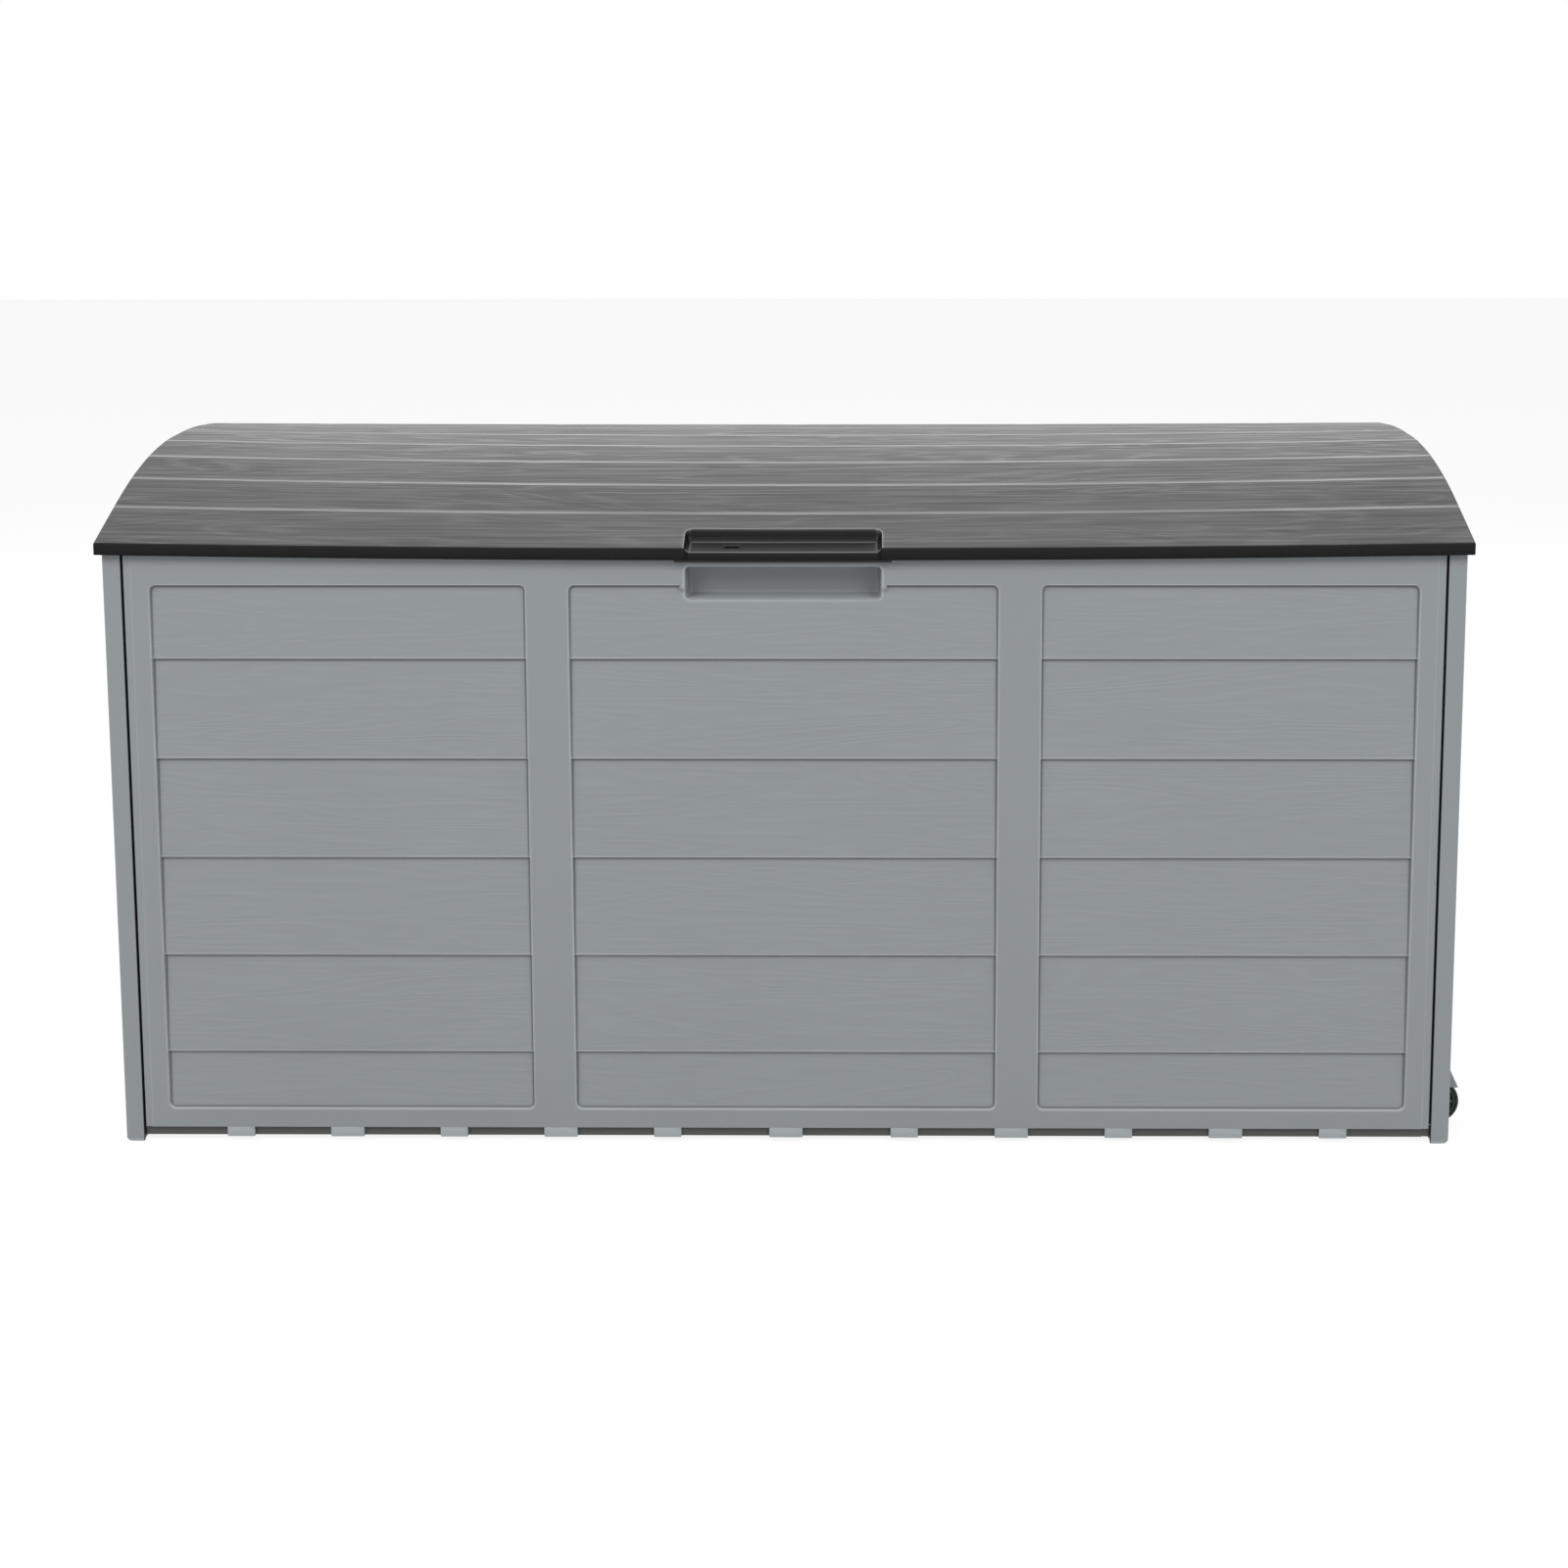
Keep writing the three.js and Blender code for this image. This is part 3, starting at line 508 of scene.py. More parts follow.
def long_panel(name, node, with_grip, turn=None):
    x_features = [(a, FIELD_LOOPS) for a, _ in FIELDS]
    x_features += [(b, mirrored(FIELD_LOOPS)) for _, b in FIELDS]
    strip_loops = [-0.9, -0.5, -0.2, 0, 0.25, 0.5, 0.9]
    x_features += [(PANEL_X - EDGE_STRIP, strip_loops),
                   (-PANEL_X + EDGE_STRIP, mirrored(strip_loops))]
    z_features = [(line, LIP_LOOPS) for line in LINES if line < FIELD_TOP]
    z_features += [(FIELD_BOTTOM, FIELD_LOOPS)]
    if with_grip:
        x_features += [(-GRIP_HALF, MOUTH_LOOPS), (GRIP_HALF, mirrored(MOUTH_LOOPS))]
        z_features += [(GRIP_Z[0], MOUTH_LOOPS), (FIELD_TOP, mirrored(FIELD_LOOPS)[3:]),
                       (GRIP_Z[1], mirrored(MOUTH_LOOPS))]
    else:
        z_features += [(FIELD_TOP, mirrored(FIELD_LOOPS))]
    reach = PANEL_X + (SEAM - SEAM_SEEN) / 2
    x_places = stations(-reach, reach, 22, x_features)
    across = wrapped(x_places, PANEL_ROUND, PANEL_SIDE, [(0, SEAM_DEPTH)])
    up = wrapped(stations(PANEL_FOOT, PANEL_TOP, 14, z_features), PANEL_ROUND, PANEL_SIDE)
    x, z = np.meshgrid(across[:, 0], up[:, 0])
    side_drop, end_drop = np.meshgrid(across[:, 1], up[:, 1])
    drop = np.maximum(side_drop, end_drop)
    depth, field, painted_highlight, shaded = long_panel_relief(x, z, with_grip)
    painted_highlight = np.maximum(painted_highlight, rounding_highlight(drop, PANEL_ROUND))
    # Painted shade on the panel's turned-down sides and in its seams.
    shaded = np.where((drop > PANEL_ROUND + 0.1) & (drop < PANEL_SIDE), 1.0, shaded)
    slots = (cells(field) > 0.6).astype(int)
    # Faces in the seams take the near-black seam material: painted shade.
    in_seam = (cells(side_drop) > PANEL_ROUND + HOLD) & (cells(side_drop) < SEAM_DEPTH)
    slots[in_seam] = 2
    points = np.stack([x, -BODY_Y + depth + drop, z], -1)
    outward = (0, -1, 0) if turn is None else (0, 1, 0)
    panel = grid_piece(name, "box", points, outward, WALL, slots, turn=turn, painted_highlight=painted_highlight,
                       shaded=shaded)
    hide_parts(node)
    return panel


def panel_trim(name, turn=None):
    """Tabs under the panel, webs behind its stiles and the tongues in the posts; and thin near-black
    sheets in the two seams, painted shade in their depths."""
    parts = []
    for i in range(-TABS_EACH_SIDE, TABS_EACH_SIDE + 1):
        half = TAB_HALF_NARROW if i % 2 else TAB_HALF_WIDE
        x = 0 if i == 0 else math.copysign(TAB_FIRST + (abs(i) - 1) * TAB_PITCH, i)
        outline = rectangle((x - half, x + half), (TAB_FOOT, PANEL_FOOT + TAB_LAP))
        reach = (-BODY_Y + 0.2, -BODY_Y + TAB_WALL)
        parts.append(prism("tab", "box", outline, reach, "Y", 0.5, turn=turn))
    reach = (-BODY_Y + WALL - 0.5, -BODY_Y + WALL + PLANK_BACK + WEB_REACH)
    stiles = [(FIELDS[0][1] + FIELDS[1][0]) / 2, (FIELDS[1][1] + FIELDS[2][0]) / 2]
    for x in [-PANEL_X + OUTER_STILE / 2, *stiles, PANEL_X - OUTER_STILE / 2]:
        outline = rectangle((x - WEB_HALF, x + WEB_HALF), (PANEL_FOOT + WEB_END, PANEL_TOP - WEB_END))
        parts.append(prism("web", "box", outline, reach, "Y", 0.4, turn=turn))
    seam_shade_sheets = []
    heights = (PANEL_FOOT + SEAM_END, PANEL_TOP - SEAM_END)
    front = -BODY_Y + SEAM_DEPTH
    for side in (-1, 1):
        ends = sorted([side * (PANEL_X - 3), side * (PANEL_X + SEAM + TONGUE)])
        outline = rectangle(ends, heights)
        parts.append(prism("tongue", "box", outline, (front, front + 2), "Y", 0.3, turn=turn))
        ends = sorted([side * (PANEL_X - 2), side * (PANEL_X + SEAM + 2)])
        reach = (front - FILLER, front)
        seam_shade_sheets.append(prism("filler", "box", rectangle(ends, heights), reach, "Y", 0.1, 1,
                             turn=turn))
    return joined(name, parts), joined(name.replace("trim", "seams"), seam_shade_sheets)


# ------------------------------------------------------------------ the lid
def arch(y):
    """Height of the lid's outside across its depth, before planks and sag."""
    return np.interp(np.abs(y), [0, *GROOVE_Y, HALF_DEPTH], [GROOVE_Z[0], *GROOVE_Z, RIM_TOP])


def arch_inset(y, inset):
    """Height of a surface a given distance inside the lid's outside."""
    slope = np.where(np.abs(y) > GROOVE_Y[-1], math.tan(EAVES), np.abs(y) / LID_RADIUS)
    return arch(y) - inset * np.sqrt(1 + slope**2)


def crown(y):
    """Rounding of each plank between its grooves, and the grooves themselves."""
    a = np.abs(y)
    edges = [-GROOVE_Y[0], *GROOVE_Y]
    t = np.clip((a - FLAT_TOP) / (HALF_DEPTH - FLAT_TOP), 0, 1)
    height = FULLNESS * np.sin(math.pi * t**CROWN_SKEW) - PLANK_CROWN
    for low, high in zip(edges[:-1], edges[1:]):
        t = np.clip((a - low) / (high - low), 0, 1)
        height += np.where((a >= low) & (a < high), PLANK_CROWN * (1 - (2 * t - 1) ** 2), 0)
    for groove in GROOVE_Y:
        near = LID_GROOVE_HALF - np.abs(a - groove)
        height -= LID_GROOVE_DEPTH * smooth(near, 0, LID_GROOVE_HALF)
    return height


def rib_places():
    return [((i + 0.5) / LID_RIBS - 0.5) * 2 * HALF_LENGTH for i in range(LID_RIBS)]


def sinks(x):
    """Faint hollows moulded into the lid's top above its ribs."""
    return SINK_DEPTH * sum(line_at(x, rib, SINK_WIDTH) for rib in rib_places())


def sag(x, y):
    """The lid's droop at mid length: most behind the front rim, none along the hinges."""
    behind = np.clip((y - SAG_FRONT) / SAG_REACH, 0, 1)
    droop = SAG_MOST * (0.5 + 0.5 * np.cos(math.pi * behind))
    ahead = np.clip((SAG_FRONT - y) / SAG_EDGE_REACH, 0, 1)
    return (droop - SAG_EDGE * ahead**2) * (1 - (x / HALF_LENGTH) ** 2)


TRAY_BACK = -HALF_DEPTH + TRAY_DEPTH
TRAY_BACK_Z = float(arch(np.array(TRAY_BACK))) - TRAY_DROP
HOLE_Y = (TRAY_BACK - HALF_DEPTH) / 2


def inside_tray(x, y):
    """How far each place lies inside the lifting ledge, which is open to the front."""
    reach = (-HALF_DEPTH - TRAY_OPEN, TRAY_BACK)
    return inside_rect(x, y, (-TRAY_HALF, TRAY_HALF), reach, TRAY_CORNER)


def tray(x, y, surface):
    """Cuts the lifting ledge into the lid's front edge."""
    mouth, draft_end = -0.4, 1.6
    fillet, fillet_start, fillet_end = 1.6, 1.2, 4.2
    lip, lip_start, lip_end = 0.5, 3.2, 1.2
    floor = TRAY_BACK_Z + (y - TRAY_BACK) * TRAY_FALL / TRAY_DEPTH
    inside = inside_tray(x, y)
    cut = smooth(inside, mouth, draft_end)
    floor = floor + fillet * (1 - smooth(inside, fillet_start, fillet_end))
    floor = floor + lip * smooth(-y, HALF_DEPTH - lip_start, HALF_DEPTH - lip_end)
    return np.where(inside > mouth, surface * (1 - cut) + floor * cut, surface)


def lid_highlights(y, drop, in_tray):
    """Painted highlights on the grooves, fainter to front and back, and on the lifting ledge's edges.
    """
    painted_highlight = np.maximum.reduce([line_at(np.abs(y), g, GROOVE_HIGHLIGHT_WIDTH) for g in GROOVE_Y])
    painted_highlight *= 1 - GROOVE_HIGHLIGHT_FADE * np.abs(y) / HALF_DEPTH
    painted_highlight = np.where(in_tray > -0.5, 0, painted_highlight)
    wall_top = 0.5 * line_at(in_tray, -0.6, 0.5)
    wall_foot = 0.6 * line_at(in_tray, 4.4, 0.7)
    front_lip = 0.8 * line_at(y, -HALF_DEPTH + 1.2, 0.9) * (in_tray > 1)
    painted_highlight = np.maximum.reduce([painted_highlight, wall_top, wall_foot, front_lip])
    return np.where(drop < LID_ROUND, painted_highlight, 0)


def lid():
    groove_loops = [-3.2, -1.9, -1.2, -0.6, 0, 0.6, 1.2, 1.9, 3.2]
    wall_loops = [-5.5, -4.2, -3.2, -2.2, -1.4, -0.8, -0.2, 0.4, 1.2, 2.6]
    hole_loops = [-5, -3.6, -3.2, -2.6, -1.8, -0.9, 0, 0.9, 1.8, 2.6, 3.2, 3.6, 5]
    lip_loops = [-2.4, -1.6, -0.8, 0, 1]
    y_features = [(s * g, groove_loops) for g in GROOVE_Y for s in (-1, 1)]
    y_features += [(TRAY_BACK, wall_loops), (HOLE_Y, hole_loops), (-HALF_DEPTH + 4, lip_loops)]
    x_features = [(-TRAY_HALF, mirrored(wall_loops)), (TRAY_HALF, wall_loops)]
    x_features += [(HOLE_X - HOLE_HALF, hole_loops[:7]), (HOLE_X + HOLE_HALF, hole_loops[6:])]
    across = wrapped(stations(-HALF_LENGTH, HALF_LENGTH, 16, x_features), LID_ROUND, RIM)
    along = wrapped(stations(-HALF_DEPTH, HALF_DEPTH, 9, y_features), LID_ROUND, RIM)
    x, y = np.meshgrid(across[:, 0], along[:, 0])
    drop = np.maximum(*np.meshgrid(across[:, 1], along[:, 1]))
    surface = tray(x, y, np.minimum(arch(y) + crown(y), HEIGHT - 0.02) - sinks(x))
    foot = arch(y) - RIM
    side = np.maximum(surface - drop, foot + LEAST_WALL)
    z = np.where(drop < RIM - 0.1, side, foot) - sag(x, y)
    in_hole = inside_rect(
        cells(x), cells(y),
        (HOLE_X - HOLE_HALF - HOLE_RADIUS, HOLE_X + HOLE_HALF + HOLE_RADIUS),
        (HOLE_Y - HOLE_RADIUS, HOLE_Y + HOLE_RADIUS), HOLE_RADIUS)
    on_ledge = inside_tray(cells(x), cells(y)) > -0.2
    # Slot 1 takes the darker rim copy and slot 2 the darker ledge copy of the lid plastic: painted
    # shade.
    slots = np.where(cells(drop) > RIM_FROM, 1, np.where(on_ledge, 2, 0))
    in_tray = inside_tray(x, y)
    # Painted shade on the lifting ledge's back wall.
    shaded = smooth(in_tray, -0.3, 0.2) * (1 - smooth(in_tray, 2.6, 3.8))
    piece = grid_piece("lid", "lid", np.stack([x, y, z], -1), (0, 0, 1), RIM_WALL, slots,
                       keep=in_hole < 0, painted_highlight=lid_highlights(y, drop, in_tray), shaded=shaded)
    piece.modifiers["wall"].material_offset = 1
    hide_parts("lid_shell")
    return piece


def lid_ribs():
    parts = []
    half = BODY_Y - 4 - PANEL_SIDE - 3
    y = np.linspace(-half, half, 60)
    for x in rib_places():
        top = arch_inset(y, LID_WALL - 0.8) - sag(x, y)
        foot = top - RIB_DEPTH - 0.5
        outline = [*zip(y, top), *zip(y[::-1], foot[::-1])]
        parts.append(prism("rib", "lid", outline, (x - 1.5, x + 1.5), "X", 0.3, 2))
    return joined("lid_ribs", parts)


def lid_apron():
    """The strip below the rim at the middle of the front, behind its face."""
    droop = float(sag(np.array(0.0), np.array(-HALF_DEPTH)))
    low, high = RIM_FOOT - APRON_DROP - droop, RIM_FOOT + 2 - droop
    reach = (-HALF_DEPTH + 0.6, -HALF_DEPTH + 3.4)
    outline = rectangle((-APRON_HALF, APRON_HALF), (low, high))
    return prism("lid_apron", "lid", outline, reach, "Y", 0.5)


def hinge_places():
    outer = HALF_LENGTH - HINGE_INSET
    return [-outer + i * 2 * outer / (HINGES - 1) for i in range(HINGES)]


def hinge_lugs():
    """The lid's lugs; and the panel's pairs of arms, each with an eye and a heel that stops
    the open lid."""
    inner = HALF_DEPTH - RIM_WALL / 2
    eye = circle((HINGE_Y, HINGE_Z), EYE_RADIUS)
    lid_outline = hull(eye + [(inner, RIM_FOOT + 0.4), (inner, RIM_TOP - 2)])
    lid_parts = [prism("lug", "lid", lid_outline, (x - LID_LUG / 2, x + LID_LUG / 2), "X", 0.6)
                 for x in hinge_places()]
    wall = BODY_Y - 1
    lower_eye = [p for p in eye if p[1] <= HINGE_Z + 0.1]
    arm = hull(lower_eye + [(wall, HINGE_Z - ARM_DROP), (wall, HINGE_Z)])
    opened = HINGE_REACH - FIT + HEEL * math.cos(OPENING)
    heel = rectangle((HINGE_Y - HEEL_BACK, HINGE_Y + HEEL),
                     (HINGE_Z, HINGE_Z + opened / math.sin(OPENING)))
    near = LID_LUG / 2 + LUG_GAP
    box_parts = []
    for x in hinge_places():
        for side in (-1, 1):
            reach = sorted([x + side * near, x + side * (near + PANEL_LUG)])
            box_parts.append(prism("arm", "box", arm, reach, "X", 0.6))
            box_parts.append(prism("eye", "box", eye, reach, "X", 0.6))
            box_parts.append(prism("heel", "box", heel, reach, "X", 0.4))
    return joined("lid_hinge_lugs", lid_parts), joined("panel_hinge_lugs", box_parts)


# ------------------------------------------------------------------ end panels
def end_field(y, z, field_top):
    """How far each place lies inside the arched field of boards."""
    field_half = BODY_Y - END_RAIL
    inside = np.minimum(np.minimum(field_half - np.abs(y), z - FIRST_LINE),
                        (field_top - z) * ARCH_LEAN)
    qy = np.abs(y) - field_half + FIELD_CORNER
    qz = FIRST_LINE + FIELD_CORNER - z
    rounded = FIELD_CORNER - np.hypot(np.maximum(qy, 0), np.maximum(qz, 0))
    return np.where((qy > 0) & (qz > 0), rounded, inside)


def end_grid(top, handle_z, with_bays):
    """The sheet's lines along its depth and up it: (place, drop) pairs."""
    field_half = BODY_Y - END_RAIL
    eaves = float(arch_inset(np.array(BODY_Y), LID_WALL + LID_GAP))
    y_features = [(-field_half, FIELD_LOOPS), (field_half, mirrored(FIELD_LOOPS)),
                  (-HANDLE_HALF, MOUTH_LOOPS), (HANDLE_HALF, mirrored(MOUTH_LOOPS))]
    y_features += [(s * (HANDLE_HALF - 6), [-4, -2, 0, 2, 4]) for s in (-1, 1)]
    z_features = [(line, LIP_LOOPS) for line in LINES[1:]]
    z_features += [(FIRST_LINE, FIELD_LOOPS)]
    z_features += [(handle_z[0], MOUTH_LOOPS), (handle_z[1], mirrored(MOUTH_LOOPS))]
    z_features += [(HANDLE_CENTRE, [-8, -5, -2, 2, 5, 8])]
    if with_bays:
        y_features += [(s * WHEEL_Y + t * BAY_HALF, [0]) for s in (-1, 1) for t in (-1, 1)]
        z_features += [(BAY_TOP, [0])]
    arched = list(np.arange(-4, top - eaves + 4, 1.1))
    z_features += [(eaves - END_TOP_RAIL, arched)]
    y_places = stations(-BODY_Y, BODY_Y, 2.8, y_features)
    along = wrapped(y_places, POST_ROUND, POST, [(0, POST - EDGE_LOOP)])
    foot = [(0.0, LEDGE)]
    for angle in (0, 22.5, 45, 67.5, 90):
        a = math.radians(angle)
        foot.append((FOOT_CORNER * (1 - math.cos(a)), FOOT_CORNER * (1 - math.sin(a))))
    rise = [(p, 0.0) for p in stations(0, top, 12, z_features) if p > FOOT_CORNER]
    return along, np.array(foot + rise + [(top, POST_ROUND), (top, POST_TOP_WALL)])


def end_panel(name, node, side, with_bays):
    """side is +1 at the wheeled end and -1 at the other."""
    top_inset = LID_WALL + LID_GAP
    top = float(arch_inset(np.array(0.0), top_inset))
    handle_z = (HANDLE_CENTRE - HANDLE_HEIGHT / 2, HANDLE_CENTRE + HANDLE_HEIGHT / 2)
    along, up = end_grid(top, handle_z, with_bays)
    y, z = np.meshgrid(along[:, 0], up[:, 0])
    drop_y, drop_z = np.meshgrid(along[:, 1], up[:, 1])
    drop_z = np.where(np.abs(y) > LEDGE_HALF, np.minimum(drop_z, POST - 1), drop_z)
    drop = np.maximum(drop_y, drop_z)
    limit = arch_inset(y, top_inset)
    z = np.minimum(z, limit)
    inside = end_field(y, z, limit - END_TOP_RAIL)
    blend = smooth(inside, 0, BEVEL)
    hand = inside_rect(y, z, (-HANDLE_HALF, HANDLE_HALF), handle_z, HANDLE_CORNER)
    collar = collar_round(hand)
    kept = (1 - collar) * (1 - smooth(hand, 0, MOUTH_FADE))
    depth = blend * boards(z) * kept + recessed(hand, HANDLE_DEPTH)
    field = blend * (1 - collar)
    lip, under = board_edges(z)
    # Painted highlights on the field's edge, the board lips, the handle's mouth and the post's
    # rounding.
    painted_highlight = np.maximum(line_at(inside, 0, HIGHLIGHT_WIDTH), field * lip)
    painted_highlight = np.maximum(painted_highlight * (1 - collar), line_at(hand, MOUTH_HIGHLIGHT_AT, MOUTH_HIGHLIGHT_WIDTH))
    painted_highlight = np.maximum(painted_highlight, rounding_highlight(drop, POST_ROUND))
    # Painted shade in the field's corners and under each board lip.
    corner = line_at(inside, CORNER_SHADE_AT, CORNER_SHADE_WIDTH)
    shaded = np.maximum(corner, field * under) * (1 - collar)
    slots = (cells(field) > 0.6).astype(int)
    # The post's inner edge faces take the near-black seam material: painted shade.
    slots[cells(drop_y) > POST - EDGE_LOOP] = 2
    keep = None
    if with_bays:
        keep = (np.abs(np.abs(cells(y)) - WHEEL_Y) > BAY_HALF) | (cells(z) > BAY_TOP)
    points = np.stack([BODY_X - depth - drop, y, z], -1)
    piece = grid_piece(name, "box", points, (side, 0, 0), WALL, slots, keep=keep,
                       turn=np.diag([float(side), 1.0, 1.0]), painted_highlight=painted_highlight, shaded=shaded)
    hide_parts(node)
    return piece


def floor_corners():
    """The floor's edge strips past the wheel notches, up to the posts."""
    edge_y = (floor_high.y - floor_low.y) / 2 / MM
    low, high = FLOOR_STRIP
    outline = rectangle((NOTCH_X - 0.5, BODY_X - POST - 0.3), (low, high))
    parts = []
    for side in (-1, 1):
        reach = sorted([side * (edge_y - 0.1), side * (edge_y - 3)])
        parts.append(prism("corner", "box", outline, reach, "Y", 0.3))
    return joined("floor_corners", parts)


# ------------------------------------------------------------------ carried-over pieces
def rounded_copy(node, bevel):
    """A CAD node's own shape with its edges rounded over."""
    source = frame["nodes"][node]
    mesh = source.data.copy()
    mesh.name = node + "_rounded"
    mesh.materials.clear()
    work = bmesh.new()
    work.from_mesh(mesh)
    bmesh.ops.remove_doubles(work, verts=work.verts, dist=0.005 * MM)
    bmesh.ops.dissolve_limit(work, angle_limit=math.radians(1), verts=work.verts, edges=work.edges)
    work.to_mesh(mesh)
    work.free()
    piece = place(node + "_rounded", mesh, source["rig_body"])
    soft = piece.modifiers.new("edges", "BEVEL")
    soft.width = bevel * MM
    soft.segments = 2
    soft.limit_method = "ANGLE"
    soft.angle_limit = math.radians(28)
    finish_mesh(mesh)
    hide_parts(node)
    return piece


def revolved(name, body, node, profile):
    """A turned piece in a node's place, about a wheel's axle, which lies along Y."""
    count = 72
    low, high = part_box(node)
    middle = (low + high) / 2
    points = []
    for i in range(count):
        a = 2 * math.pi * i / count
        points += [(middle.x + r * MM * math.cos(a), middle.y + t * MM,
                    middle.z + r * MM * math.sin(a)) for r, t in profile]
    n = len(profile)
    faces = []
    for i in range(count):
        j = (i + 1) % count
        faces += [[i * n + k, j * n + k, j * n + (k + 1) % n, i * n + (k + 1) % n]
                  for k in range(n)]
    mesh = bpy.data.meshes.new(name)
    mesh.from_pydata(points, [], faces)
    work = bmesh.new()
    work.from_mesh(mesh)
    bmesh.ops.recalc_face_normals(work, faces=work.faces)
    work.to_mesh(mesh)
    work.free()
    finish_mesh(mesh)
    piece = place(name, mesh, body)
    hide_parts(node)
    return piece


def tyre_profile(outer):
    """Round the tyre's section: a shoulder, the tread with its grooves, the other shoulder."""
    groove_half, groove_floor, groove_depth = 0.9, 0.6, 0.9
    shoulder = [(15.9, 0.3), (16.2, 0), (16.9, 0), (17.9, 0.5), (18.6, 1.6), (outer, 3)]
    tread = [(r, inset - TYRE_HALF) for r, inset in shoulder]
    for groove in (-5.2, 0.0, 5.2):
        tread += [(outer, groove - groove_half), (outer - groove_depth, groove - groove_floor),
                  (outer - groove_depth, groove + groove_floor), (outer, groove + groove_half)]
    return tread + [(r, TYRE_HALF - inset) for r, inset in shoulder[::-1]]


def hub_profile():
    """Round the hub's section: a boss, a dished face and a rim, on both sides."""
    section = [(3.3, 0), (5.4, 0), (6.0, 0.5), (6.6, HUB_DISH - 0.5), (7.4, HUB_DISH),
               (12.8, HUB_DISH), (13.5, HUB_DISH - 0.5), (14.0, 0.5), (14.5, 0), (15.2, 0),
               (15.6, 0.4)]
    near = [(r, sunk - HUB_HALF) for r, sunk in section]
    return near + [(r, HUB_HALF - sunk) for r, sunk in section[::-1]]


def hub_spokes(where, body):
    low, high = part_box(f"wheel_hub_{where}")
    middle = (low + high) / 2
    out = HUB_HALF - HUB_DISH + SPOKE_PROUD
    spokes = bpy.data.meshes.new("spokes")
    work = bmesh.new()
    for side in (-1, 1):
        for i in range(SPOKES):
            bar = bmesh.ops.create_cube(work, size=1.0)["verts"]
            size = Matrix.Diagonal((*(length * MM for length in SPOKE), 1.0))
            outwards = Matrix.Translation((SPOKE_RADIUS * MM, 0, 0))
            turn = Matrix.Rotation(-2 * math.pi * i / SPOKES, 4, "Y")
            shift = Matrix.Translation((middle.x, middle.y + side * out * MM, middle.z))
            bmesh.ops.transform(work, matrix=shift @ turn @ outwards @ size, verts=bar)
    bmesh.ops.bevel(work, geom=work.edges[:], offset=0.25 * MM, segments=2, affect="EDGES")
    work.to_mesh(spokes)
    work.free()
    finish_mesh(spokes)
    return place(f"hub_spokes_{where}", spokes, body)


def wheel(where, body):
    low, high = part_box(f"wheel_tyre_{where}")
    outer = (high.x - low.x) / 2 / MM
    tyre = revolved(f"tyre_{where}", body, f"wheel_tyre_{where}", tyre_profile(outer))
    hub = revolved(f"hub_{where}", body, f"wheel_hub_{where}", hub_profile())
    return tyre, hub, hub_spokes(where, body)


# ------------------------------------------------------------------ materials
def add(tree, kind, inputs=None, **settings):
    made = tree.nodes.new(kind)
    for key, value in settings.items():
        setattr(made, key, value)
    for key, value in (inputs or {}).items():
        if isinstance(value, bpy.types.NodeSocket):
            tree.links.new(value, made.inputs[key])
        else:
            made.inputs[key].default_value = value
    return made


def maths(tree, operation, a, b=0.0, c=0.0):
    return add(tree, "ShaderNodeMath", {0: a, 1: b, 2: c}, operation=operation).outputs[0]


def noise(tree, where, scale, detail, roughness, distortion=0.0):
    return add(tree, "ShaderNodeTexNoise", {
        "Vector": where, "Scale": scale, "Detail": detail, "Roughness": roughness,
        "Distortion": distortion}).outputs[0]


def mix_colour(tree, factor, a, b):
    made = add(tree, "ShaderNodeMix", {"Factor": factor}, data_type="RGBA")
    for socket, value in ((made.inputs[6], a), (made.inputs[7], b)):
        if isinstance(value, bpy.types.NodeSocket):
            tree.links.new(value, socket)
        else:
            socket.default_value = value
    return made.outputs[2]


def linear(colour):
    return tuple((c / 255 / 12.92) if c <= 10 else ((c / 255 + 0.055) / 1.055) ** 2.4
                 for c in colour) + (1.0,)


def shade(colour, factor):
    return tuple(min(1.0, c * factor) for c in colour[:3]) + (1.0,)


